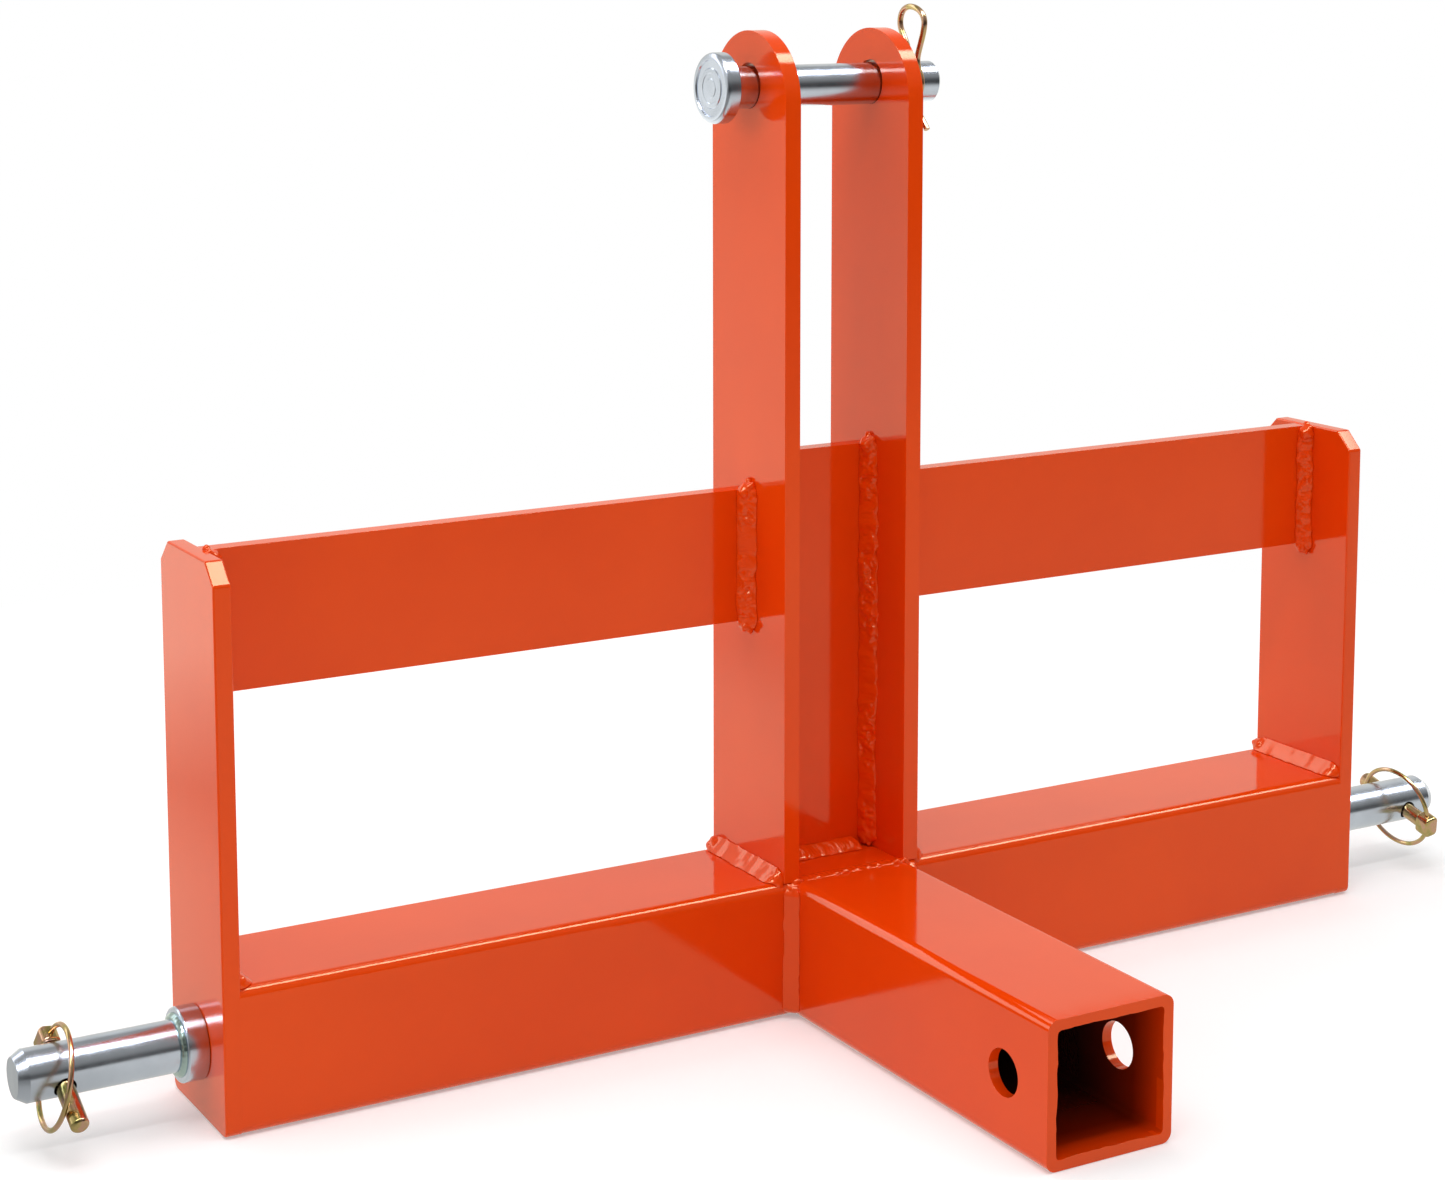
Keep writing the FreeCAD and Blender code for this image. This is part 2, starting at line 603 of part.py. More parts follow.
def biarc(start, start_way, end, end_way):
    """Two arcs that lead smoothly from one point and heading to another."""
    chord = end - start
    spread = 2 * (1 - start_way.dot(end_way))
    along = chord.dot(start_way + end_way)
    if spread < 1e-9:
        reach = chord.dot(chord) / (2 * along)
    else:
        reach = (math.sqrt(along ** 2 + spread * chord.dot(chord)) - along) / spread
    joint = (start + end + (start_way - end_way) * reach) * 0.5
    first = run_or_arc(start, arc_middle(start, start_way, joint), joint)
    second = run_or_arc(joint, arc_middle(end, -end_way, joint), end)
    return [first, second]


def smooth_path(stations):
    """Edges through (y, z, heading) stations, straight or in tangent arcs."""
    edges = []
    for (y0, z0, way0), (y1, z1, way1) in zip(stations, stations[1:]):
        edges += biarc(Vector(0, y0, z0), way0, Vector(0, y1, z1), way1)
    return edges


def hairpin_clip():
    """The hairpin: a straight leg through the top link pin, a loop and a waved outer leg."""
    wire = number("Sizes.clip_wire / 2")
    hug = number("Sizes.top_pin_size / 2 + Sizes.clip_wire / 2 + Sizes.clip_hug_gap")
    turn = math.radians(number("Sizes.clip_hug_angle"))
    waist, waist_z = hug - number("Sizes.clip_waist"), number("Sizes.clip_waist_height")
    front, back = number("Sizes.clip_loop_front"), number("Sizes.clip_loop_back")
    foot, shoulder = number("Sizes.clip_leg_low"), number("Sizes.clip_leg_high")
    top = number("Sizes.clip_loop_top")
    side_z = number("Sizes.clip_loop_side")
    tip_y, tip_z = number("Sizes.clip_tip_flare"), number("Sizes.clip_tip_low")
    up, down = way(0, 1), way(0, -1)
    flare = way(waist - tip_y, waist_z - tip_z)
    path = smooth_path([
        (0, -foot, up),
        (0, shoulder, up),
        (back, side_z, up),
        ((back - front) / 2 + wire, top, way(-1, 0)),
        (-front, side_z, down),
        (-waist, waist_z, down),
        (-hug * math.cos(turn), hug * math.sin(turn), way(-math.sin(turn), -math.cos(turn))),
        (-hug * math.cos(turn), -hug * math.sin(turn), way(math.sin(turn), -math.cos(turn))),
        (-waist, -waist_z, down),
        (-tip_y, -tip_z, flare),
    ])
    clip = doc.addObject("Part::Feature", "hairpin_clip")
    clip.Label = "hairpin_clip"
    clip.Shape = bent_wire(path, Vector(0, 0, -foot), Z_AXIS, X_AXIS, 2 * wire)
    clip.Placement = Placement(Vector(number(CLIP_X), 0, number(TOP_PIN_HEIGHT)), Rotation())


# Weld beads. A bead lies in the corner of two pieces, with a leg on each and a bulging face.

def fillet_bead(corner, along, leg_a, leg_b):
    """A bead from a corner point along a run, with its two legs given as vectors."""
    crown = (corner * 2 + leg_a + leg_b) * 0.5 + (leg_a + leg_b).normalize() * number("Sizes.bead_crown")
    toe_a, toe_b = corner + leg_a, corner + leg_b
    section = Part.Wire([
        Part.LineSegment(corner, toe_a).toShape(),
        Part.Arc(toe_a, crown, toe_b).toShape(),
        Part.LineSegment(toe_b, corner).toShape(),
    ])
    return Part.Face(section).extrude(along)


def seam_bead(across, height, rise, lap, crown):
    """The bead that fills the groove over a tube corner where the receiver butts against it."""
    half, corner = number(HALF_T), number("Sizes.tube_corner")
    part_way = corner * (1 - math.sqrt(0.5))

    def at(depth, level):
        return Vector(-across, -half + depth, height + rise * level)

    section = [Part.Arc(at(0, -corner), at(part_way, -part_way), at(corner, 0)).toShape()]
    if lap:
        section.append(Part.LineSegment(at(corner, 0), at(corner + lap, 0)).toShape())
        section.append(Part.Arc(at(corner + lap, 0), at(corner / 2, crown), at(-lap, 0)).toShape())
        section.append(Part.LineSegment(at(-lap, 0), at(0, 0)).toShape())
    else:
        section.append(Part.LineSegment(at(corner, 0), at(0, 0)).toShape())
    section.append(Part.LineSegment(at(0, 0), at(0, -corner)).toShape())
    return Part.Face(Part.Wire(section)).extrude(Vector(2 * across, 0, 0))


def weld(name, beads):
    """One piece for the beads of one joint."""
    obj = doc.addObject("Part::Feature", name)
    obj.Label = name
    obj.Shape = Part.makeCompound(beads)


def receiver_weld():
    """The weld round the receiver tube where it meets the cross tube."""
    half, corner, size = number(HALF_T), number("Sizes.tube_corner"), number(T)
    leg = number("Sizes.receiver_bead")
    run = Vector(0, 0, size - 2 * corner)
    beads = [
        fillet_bead(Vector(sign * half, -half, corner), run, Vector(0, -leg, 0), Vector(sign * leg, 0, 0))
        for sign in (-1, 1)
    ]
    lap, crown = number("Sizes.seam_overlap"), number("Sizes.bead_crown")
    beads.append(seam_bead(half - corner, size, 1, lap, crown))
    dressed_flush = seam_bead(half - corner, 0, -1, 0, 0)
    beads.append(dressed_flush)
    weld("receiver_weld", beads)


def plate_beads(x, outward_sign, low, high, leg_side, leg_plate, back):
    """Upright beads in front of and behind a plate where it meets an upright bar."""
    front = number("Sizes.plate_face")
    run = Vector(0, 0, high - low)
    toe = Vector(outward_sign * leg_plate, 0, 0)
    return [
        fillet_bead(Vector(x, front, low), run, Vector(0, -leg_side, 0), toe),
        fillet_bead(Vector(x, front + back, low), run, Vector(0, leg_side, 0), toe),
    ]


def rail_weld(side, sign):
    """The welds of one rail to its mast bar and its end plate."""
    low, high = number(RAIL_LOW), number(RAIL_TOP)
    on_bar, on_rail = number("Sizes.rail_bead_mast"), number("Sizes.rail_bead_rail")
    back = number("Sizes.rail_thickness")
    beads = plate_beads(sign * number(MAST_FACE), sign, low, high, on_bar, on_rail, back)
    beads += plate_beads(sign * number("Sizes.cross_length / 2"), -sign, low, high, on_bar, on_rail, back)
    weld(f"{side}_rail_welds", beads)


def web_weld():
    """The welds of the web to the two mast bars and to the cross tube."""
    low, high = number(T), number("Sizes.web_top")
    on_bar, on_web = number("Sizes.web_bead_mast"), number("Sizes.web_bead_web")
    foot = number("Sizes.web_foot_bead")
    back, front = number("Sizes.web_thickness"), number("Sizes.plate_face")
    inner = number("Sizes.mast_gap / 2")
    beads = []
    for sign in (-1, 1):
        beads += plate_beads(sign * inner, -sign, low, high, on_bar, on_web, back)
    span, rise = Vector(2 * (inner - on_web), 0, 0), Vector(0, 0, on_web)
    for face, way_out in ((front, -1), (front + back, 1)):
        start = Vector(on_web - inner, face, low)
        beads.append(fillet_bead(start, span, Vector(0, way_out * foot, 0), rise))
    weld("web_welds", beads)


def tube_top_beads(name, x, outward_sign):
    """Beads across the flat of the cross tube's top, along the foot of two upright bars."""
    leg = number("Sizes.foot_bead")
    reach = number(f"{HALF_T} - Sizes.tube_corner")
    run = Vector(0, 2 * reach, 0)
    beads = []
    for sign in (-1, 1):
        corner = Vector(sign * x, -reach, number(T))
        beads.append(fillet_bead(corner, run, Vector(0, 0, leg), Vector(sign * outward_sign * leg, 0, 0)))
    weld(name, beads)


SIDES = (("left", -1), ("right", 1))

cross_tube()
receiver_tube()
rails_and_web()
top_link_pin()
hairpin_clip()
receiver_weld()
web_weld()
tube_top_beads("mast_foot_welds", number(MAST_FACE), 1)
tube_top_beads("end_plate_welds", number("Sizes.cross_length / 2"), -1)
LINCH_SLOPES = {
    "left": ("Sizes.left_linch_slope - 90", "0"),
    "right": ("90 + Sizes.right_linch_slope", "Sizes.right_linch_out"),
}
for side, sign in SIDES:
    turn, slide = (number(formula) for formula in LINCH_SLOPES[side])
    end_plate(side, "-" if sign < 0 else "")
    mast_bar(side, "-" if sign < 0 else "")
    rail_weld(side, sign)
    lower_link_pin(side, turn)
    collar(side)
    collar_weld(side)
    stud_nut(side)
    linch_pin(side, turn, slide)
    linch_ring(side, turn, slide)
doc.recompute()

pieces = [o for o in doc.Objects if o.TypeId in ("PartDesign::Body", "Part::Feature")]
for obj in doc.Objects:
    if "Invalid" in obj.State or "Error" in obj.State:
        raise RuntimeError(f"{obj.Label} failed: {obj.State}")
for piece in pieces:
    if piece.Shape.isNull() or not piece.Shape.isValid():
        raise RuntimeError(f"{piece.Label} has no valid shape")

os.makedirs("parts", exist_ok=True)
for piece in pieces:
    piece.Shape.exportStep(os.path.join("parts", f"{piece.Label}.step"))
print(len(pieces), "pieces written")
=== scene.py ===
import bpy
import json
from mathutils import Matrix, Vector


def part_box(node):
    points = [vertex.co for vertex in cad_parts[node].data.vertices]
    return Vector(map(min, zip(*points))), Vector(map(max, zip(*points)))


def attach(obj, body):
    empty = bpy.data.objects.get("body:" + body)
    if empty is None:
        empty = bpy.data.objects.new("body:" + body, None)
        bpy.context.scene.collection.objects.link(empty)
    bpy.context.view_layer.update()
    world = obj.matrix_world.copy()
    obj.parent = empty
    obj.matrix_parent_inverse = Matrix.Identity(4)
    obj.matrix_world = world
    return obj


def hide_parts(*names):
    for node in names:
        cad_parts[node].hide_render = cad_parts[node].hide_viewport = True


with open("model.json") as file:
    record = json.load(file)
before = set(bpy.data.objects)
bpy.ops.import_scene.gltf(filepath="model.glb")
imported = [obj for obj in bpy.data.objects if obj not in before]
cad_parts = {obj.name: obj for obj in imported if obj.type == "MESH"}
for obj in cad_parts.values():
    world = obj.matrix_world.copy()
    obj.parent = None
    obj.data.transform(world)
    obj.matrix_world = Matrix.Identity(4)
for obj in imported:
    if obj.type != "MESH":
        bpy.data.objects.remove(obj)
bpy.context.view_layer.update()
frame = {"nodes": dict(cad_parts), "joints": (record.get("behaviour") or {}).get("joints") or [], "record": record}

import json
import math
from contextlib import contextmanager

import bmesh
import bpy
from bpy.props import FloatProperty, FloatVectorProperty, IntProperty, PointerProperty
from mathutils import Matrix, Vector, noise

bl_info = {
    "name": "Receiver Hitch",
    "version": (1, 0, 0),
    "blender": (4, 5, 0),
    "location": "View3D > Sidebar > Hitch",
    "description": "Builds the looks of a three point receiver hitch round its frame of solids",
    "category": "Object",
}

MM = 0.001
SAME_PLACE = 1e-6
ALONG_X = (0, math.pi / 2, 0)
SIDES = (("left", -1), ("right", 1))


# Settings

def tint(name, description, default):
    """A setting for a colour."""
    return FloatVectorProperty(name=name, description=description, subtype="COLOR", default=default)


def span(name, description, default):
    """A setting for a length in metres."""
    return FloatProperty(name=name, description=description, unit="LENGTH", default=default)


def gloss(name, description, default):
    """A setting for a roughness between 0 and 1."""
    return FloatProperty(name=name, description=description, default=default, min=0.0, max=1.0)


def power(name, description, default):
    """A setting for a lamp's power in watts."""
    return FloatProperty(name=name, description=description, unit="POWER", default=default)


def number(name, description, default):
    """A setting for a plain number."""
    return FloatProperty(name=name, description=description, default=default)


class HitchPaintSettings(bpy.types.PropertyGroup):
    """The gloss powder coat of the welded frame."""
    colour: tint("Paint colour", "Colour of the powder coat", (0.79, 0.057, 0.001))
    shade: tint("Thin paint colour", "Colour where the coat runs thin", (0.73, 0.045, 0.001))
    sheen: tint("Reflection tint", "Colour that the coat gives to what it mirrors", (1.0, 0.96, 0.60))
    # The next two settings are painted shade: the near black that the receiver's hollow darkens to, and how far
    # from the mouth it is reached.
    bare: tint("Shade inside", "Colour deep inside the receiver, where no paint reaches",
               (0.050, 0.012, 0.008))
    bare_depth: span("Painted depth", "How far the paint reaches into the receiver", 0.055)
    roughness: gloss("Gloss roughness", "Roughness of the clear surface", 0.075)
    peel: span("Orange peel", "Depth of the fine ripple in the coat", 0.00006)
    film: span("Edge rounding", "Radius that cut edges have under the coat", 0.0009)


class HitchPlatingSettings(bpy.types.PropertyGroup):
    """The zinc plating of the pins and clips."""
    bright: tint("Bright zinc", "Colour of the bright plating", (0.61, 0.675, 0.83))
    weld: tint("Plated weld", "Colour of the plating over the weld rings", (0.40, 0.52, 0.53))
    gold: tint("Yellow zinc", "Main colour of the yellow plating", (0.50, 0.38, 0.17))
    rose: tint("Rose tint", "Pink tint in the yellow plating", (0.58, 0.35, 0.26))
    olive: tint("Olive tint", "Green tint in the yellow plating", (0.30, 0.29, 0.10))
    roughness: gloss("Plating roughness", "Roughness of the plated steel", 0.22)
    marks: span("Tool marks", "Depth of the fine marks in the plated steel", 0.00002)


class HitchWeldSettings(bpy.types.PropertyGroup):
    """The weld beads under the paint."""
    pitch: span("Ripple pitch", "Distance between two ripples of a bead", 0.0026)
    ripple: span("Ripple height", "Height of the ripples", 0.00009)
    pit: span("Pits", "Depth of the pits and lumps in a bead", 0.00085)
    rings: IntProperty(name="Points round a bead", description="Points in a bead's section", default=30)
    step: span("Bead step", "Distance between two sections of a bead", 0.0006)
    grain: span("Bead grain", "Size of the facets of a bead", 0.00055)


class HitchStageSettings(bpy.types.PropertyGroup):
    """The floor, the lamps and the camera."""
    floor: tint("Floor colour", "Colour of the floor", (0.93, 0.93, 0.93))
    key_power: power("Key lamp", "Power of the large lamp over the hitch", 15.0)
    strip_power: power("Strip lamp", "Power of the long lamp in front of the hitch", 9.0)
    fill_power: power("Fill lamp", "Power of the lamp on the left", 11.0)
    sky: number("Studio light", "Strength of the even light from all round", 0.54)
    mirrored: tint("Mirrored tint", "Colour of the walls and the floor in reflections", (1.0, 0.97, 0.84))
    softbox: number("Soft box", "Strength of the soft box over the hitch in reflections", 17.0)
    window: number("Window", "Strength of the window behind on the left in reflections", 3.6)
    focal: number("Focal length", "Focal length of the camera in millimetres", 68.69)


def settings(name):
    """One group of this file's settings."""
    return getattr(bpy.context.scene, name)


# Working on a mesh

def activate(*pieces):
    """Select only these objects and make the first one active."""
    bpy.ops.object.select_all(action="DESELECT")
    for piece in pieces:
        piece.select_set(True)
    bpy.context.view_layer.objects.active = pieces[0]


@contextmanager
def editing(piece):
    """Edit mode on one object."""
    activate(piece)
    bpy.ops.object.mode_set(mode="EDIT")
    yield bmesh.from_edit_mesh(piece.data)
    bpy.ops.object.mode_set(mode="OBJECT")


def primitive(add, name, **values):
    """Add one primitive by itself, name it and put its place into its mesh."""
    bpy.ops.object.select_all(action="DESELECT")
    add(**values)
    piece = bpy.context.active_object
    piece.name = piece.data.name = name
    bpy.ops.object.transform_apply(location=True, rotation=True, scale=True)
    return piece


def face_outwards(merge=0):
    """In edit mode, join points that lie together if asked to and turn all faces outwards."""
    bpy.ops.mesh.select_all(action="SELECT")
    if merge:
        bpy.ops.mesh.remove_doubles(threshold=merge)
    bpy.ops.mesh.normals_make_consistent(inside=False)


def applied(piece, kind, **values):
    """Add a modifier with these values and apply it."""
    modifier = piece.modifiers.new(kind.title(), kind)
    for key, value in values.items():
        setattr(modifier, key, value)
    activate(piece)
    bpy.ops.object.modifier_apply(modifier=modifier.name)


def cut(piece, cutter):
    """Take a cutter's shape out of a piece."""
    applied(piece, "BOOLEAN", operation="DIFFERENCE", object=cutter, solver="EXACT")
    bpy.data.objects.remove(cutter)


def smooth(piece):
    """Shade one piece smooth."""
    activate(piece)
    bpy.ops.object.shade_smooth()


def soften(piece, width, segments=3, sharp=35):
    """Round the edges of a finished shape that are sharper than some degrees and shade it smooth."""
    applied(piece, "BEVEL", width=width, segments=segments, limit_method="ANGLE",
            angle_limit=math.radians(sharp), use_clamp_overlap=True, miter_outer="MITER_ARC")
    smooth(piece)
    applied(piece, "WEIGHTED_NORMAL", keep_sharp=False, weight=80, mode="FACE_AREA")


def joined(pieces, name):
    """One object from several."""
    activate(*pieces)
    bpy.ops.object.join()
    whole = bpy.context.active_object
    whole.name = whole.data.name = name
    return whole


def dress(piece, look, body, node):
    """Give a finished piece its material and its body, and hide the node that it stands for."""
    piece.data.materials.clear()
    piece.data.materials.append(shared(look))
    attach(piece, body)
    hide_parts(node)


def painted(piece, node):
    """Dress a finished piece of the welded frame in its powder coat."""
    dress(piece, "powder_coat_orange", "frame", node)


# Shapes that several pieces share

def rounded_outline(low, high, corners):
    """Points round a rectangle. Each corner is (radius, steps), anticlockwise from the low one."""
    (x0, y0), (x1, y1) = low, high
    centres = ((x0, y0, 1, 1, 180), (x1, y0, -1, 1, 270), (x1, y1, -1, -1, 0), (x0, y1, 1, -1, 90))
    points = []
    for (x, y, right, up, start), (radius, steps) in zip(centres, corners):
        for step in range(steps + 1):
            angle = math.radians(start + 90 * step / steps)
            points.append((x + radius * (right + math.cos(angle)), y + radius * (up + math.sin(angle))))
    return points


def prism(name, outline, axis, start, end):
    """A flat outline across an axis, extruded from start to end along it."""
    def place(along, a, b):
        return Vector((along, a, b)) if axis == "X" else Vector((a, along, b))

    piece = primitive(bpy.ops.mesh.primitive_circle_add, name,
                      vertices=len(outline), radius=1, fill_type="NGON")
    for vertex, (a, b) in zip(piece.data.vertices, outline):
        vertex.co = place(start, a, b)
    with editing(piece):
        bpy.ops.mesh.select_all(action="SELECT")
        bpy.ops.mesh.remove_doubles(threshold=SAME_PLACE)
        bpy.ops.mesh.extrude_region_move(TRANSFORM_OT_translate={"value": place(end - start, 0, 0)})
        face_outwards()
    return piece


def drill(piece, centre, radius, length, turn=ALONG_X, segments=96):
    """Bore a round hole through a piece, along X unless it is turned another way."""
    cut(piece, primitive(bpy.ops.mesh.primitive_cylinder_add, "cutter", vertices=segments, radius=radius,
                         depth=length, location=centre, rotation=turn))


def turned(name, centre, stations, segments=96):
    """A piece turned about the X axis through centre, from (distance along X, radius) stations."""
    start, radius = stations[0]
    piece = primitive(bpy.ops.mesh.primitive_circle_add, name, vertices=segments, radius=radius,
                      fill_type="NGON", location=centre + Vector((start, 0, 0)), rotation=ALONG_X)
    with editing(piece):
        bpy.ops.mesh.select_all(action="SELECT")
        for along, size in stations[1:]:
            bpy.ops.mesh.extrude_region_move(TRANSFORM_OT_translate={"value": (along - start, 0, 0)})
            bpy.ops.transform.resize(value=(1, size / radius, size / radius),
                                     center_override=centre + Vector((along, 0, 0)))
            start, radius = along, size
        face_outwards()
    return piece


def rounded_stations(along, radius, corner, towards, steps=6):
    """Stations round the outer edge of a disc whose face looks towards -1 or +1 along X."""
    stations = []
    for step in range(steps + 1):
        angle = math.radians(90 * step / steps)
        inwards = towards * corner * (1 - math.sin(angle))
        stations.append((along - inwards, radius - corner * (1 - math.cos(angle))))
    return stations


# Materials

def material(name):
    """A new node material and its shader."""
    made = bpy.data.materials.new(name)
    made.use_nodes = True
    return made, made.node_tree, made.node_tree.nodes["Principled BSDF"]


def fill(tree, made, inputs):
    """Give each input of a node a value or the output that feeds it."""
    for socket, value in inputs.items():
        if isinstance(value, bpy.types.NodeSocket):
            tree.links.new(value, made.inputs[socket])
        else:
            made.inputs[socket].default_value = value


def add_node(tree, kind, inputs=None, **values):
    """The outputs of a new shader node with these inputs and other values."""
    made = tree.nodes.new(f"ShaderNode{kind}")
    for key, value in values.items():
        setattr(made, key, value)
    fill(tree, made, inputs or {})
    return made.outputs


def noise_node(tree, scale, detail=3.0, roughness=0.5, stretch=None):
    """A noise texture in object coordinates, in ripples per metre."""
    place = add_node(tree, "TexCoord")["Object"]
    if stretch:
        place = add_node(tree, "Mapping", {"Vector": place, "Scale": stretch})["Vector"]
    inputs = {"Vector": place, "Scale": scale, "Detail": detail, "Roughness": roughness}
    return add_node(tree, "TexNoise", inputs)["Fac"]


def split_node(tree, coordinate):
    """The X, Y and Z of a texture coordinate."""
    return add_node(tree, "SeparateXYZ", {"Vector": add_node(tree, "TexCoord")[coordinate]})


def ramp_node(tree, source, stops):
    """A colour ramp over a value."""
    ramp = tree.nodes.new("ShaderNodeValToRGB")
    elements = ramp.color_ramp.elements
    while len(elements) < len(stops):
        elements.new(0.5)
    for element, (place, colour) in zip(elements, stops):
        element.position = place
        element.color = (*colour, 1.0)
    tree.links.new(source, ramp.inputs["Fac"])
    return ramp.outputs["Color"]


def range_node(tree, source, low, high, start=0.0, end=1.0):
    """A value from low to high, turned into one from start to end and held there beyond them."""
    return add_node(tree, "MapRange", {
        "Value": source, "From Min": low, "From Max": high, "To Min": start, "To Max": end})["Result"]


def math_node(tree, operation, first, second):
    """Two values combined."""
    return add_node(tree, "Math", {0: first, 1: second}, operation=operation)["Value"]


def mix_node(tree, share, first, second):
    """One shader turning into another."""
    return add_node(tree, "MixShader", {"Fac": share, 1: first, 2: second})["Shader"]


def bump_node(tree, source, depth, strength, below=None):
    """A bump of a real depth from a value, over an earlier bump if there is one."""
    inputs = {"Strength": strength, "Distance": depth, "Height": source}
    if below:
        inputs["Normal"] = below
    return add_node(tree, "Bump", inputs)["Normal"]


def grey(value):
    """A grey as a colour."""
    return (value, value, value)


def darker(colour, share):
    """A share of a colour's light."""
    return tuple(share * c for c in colour)


def shades(tree, source, colour, stops):
    """Shares of a colour over a value. A stop is a place in the value and a share."""
    return ramp_node(tree, source, [(place, darker(colour, share)) for place, share in stops])


def coat(name, find_colour):
    """Gloss powder coat with a faint orange peel, over a colour that find_colour adds to the tree."""
    paint = settings("hitch_paint")
    made, tree, shader = material(name)
    wave = bump_node(tree, noise_node(tree, 30, detail=1), paint.peel * 3, 0.28)
    cloud = noise_node(tree, 60, detail=5)
    fill(tree, shader, {
        "Base Color": find_colour(tree, paint),
        "Roughness": shades(tree, cloud, grey(paint.roughness), ((0.3, 0.85), (0.75, 1.4))),
        "Normal": bump_node(tree, noise_node(tree, 620, detail=2), paint.peel, 0.28, wave),
        "Specular Tint": (*paint.sheen, 1)})
    return made


def clouded_paint(tree, paint):
    """The orange-red of the coat, with faint clouds where it is thinner."""
    return ramp_node(tree, noise_node(tree, 9, detail=4), ((0.30, paint.shade), (0.66, paint.colour)))


def shaded_inside_paint(tree, paint):
    """The coat inside the receiver, darkened from the mouth to near black deeper in as painted shade."""
    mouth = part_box("receiver_tube")[0].y
    depth = range_node(tree, split_node(tree, "Object")["Y"], mouth, mouth + paint.bare_depth)
    # Painted shade: the coat darkens from the mouth to near black deeper into the tube.
    half_shade = darker(paint.shade, 0.30)
    return ramp_node(tree, depth, ((0.0, paint.shade), (0.35, half_shade), (1.0, paint.bare)))


def plate(name, colour, texture, rough_stops, marks):
    """Plated steel with cloudy gloss, whose colour and marks come from two functions of its tree."""
    plating = settings("hitch_plating")
    made, tree, shader = material(name)
    fill(tree, shader, {
        "Base Color": colour(tree),
        "Roughness": shades(tree, noise_node(tree, texture), grey(plating.roughness), rough_stops),
        "Normal": marks(tree, plating.marks),
        "Metallic": 1.0})
    return made


def zinc(name, tone):
    """Zinc on turned steel, with fine tool marks round the pin and a soft cloudy sheen."""
    def clouded(tree):
        shade = getattr(settings("hitch_plating"), tone)
        cloud = noise_node(tree, 55, detail=4, roughness=0.55)
        return shades(tree, cloud, shade, ((0.3, 0.88), (0.7, 1.0)))

    def turned_marks(tree, depth):
        lines = noise_node(tree, 1100, detail=2, stretch=(1.0, 0.02, 0.02))
        pits = bump_node(tree, noise_node(tree, 900, detail=2), depth, 0.12)
        return bump_node(tree, lines, depth, 0.16, pits)
    return plate(name, clouded, 160, ((0.3, 0.85), (0.8, 1.2)), turned_marks)


def yellow_zinc(name):
    """Yellow chromated zinc, gold with rose and olive clouds."""
    def clouded(tree):
        plating = settings("hitch_plating")
        return ramp_node(tree, noise_node(tree, 110, roughness=0.6), (
            (0.30, plating.olive), (0.46, plating.gold), (0.58, plating.rose), (0.72, plating.gold)))

    def grains(tree, depth):
        return bump_node(tree, noise_node(tree, 800), depth, 0.2)
    return plate(name, clouded, 300, ((0.3, 0.7), (0.8, 1.3)), grains)


MATERIALS = {
    "powder_coat_orange": (coat, clouded_paint),
    # The receiver's inner walls, whose coat darkens inwards as painted shade.
    "powder_coat_fading": (coat, shaded_inside_paint),
    "bright_zinc_plate": (zinc, "bright"),
    "welded_zinc_plate": (zinc, "weld"),
    "yellow_zinc_plate": (yellow_zinc,),
}


def shared(name):
    """A material that is made once and then reused."""
    maker, *choices = MATERIALS[name]
    return bpy.data.materials.get(name) or maker(name, *choices)


# Pieces of the welded frame

TUBE_CORNER = 4.6 * MM
TUBE_WALL = 4.8 * MM
TUBE_INNER_CORNER = 2 * MM
HIDDEN_END = 1 * MM
MAST_HOLE = 20.6 * MM
TOP_PIN = 19.05 * MM
PIN_PLAY = 0.05 * MM
CUT_CORNER = (0.2 * MM, 1)
FOOT_CORNER = (4 * MM, 8)
CROPPED_CORNER = (9 * MM, 1)

# The paint's wavy edge at the mouth: its size, and the ripples per metre and share of each of its waves

MOUTH_WAVE = 0.8 * MM
MOUTH_RIPPLES = ((95, 1.0), (260, 0.5))
MOUTH_ROWS = 22
MOUTH_EASE = 4 * MM
MOUTH_AHEAD = 2 * MM


def named(rows, name):
    """The row of the frame that has a name."""
    return next(row for row in rows if row["name"] == name)


def bar(name, node, axis, corners, hidden=0.0):
    """A bar that fills a node's box, with ends along X that can reach into the pieces beside it."""
    low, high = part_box(node)
    ends = {"X": (low.x - hidden, high.x + hidden), "Y": (low.y, high.y)}
    side_low, side_high = ends["Y" if axis == "X" else "X"]
    outline = rounded_outline((side_low, low.z), (side_high, high.z), corners)
    return prism(name, outline, axis, *ends[axis])


def ends_of(node, sign):
    """The X of a node's inner end and of its outer one, on one side of the hitch."""
    low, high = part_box(node)
    return (low.x, high.x) if sign > 0 else (high.x, low.x)


def pin_axis():
    """A point on the top link pin's axis, half-way between the mast bars."""
    low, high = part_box("top_pin")
    return Vector((0, (low.y + high.y) / 2, (low.z + high.z) / 2))


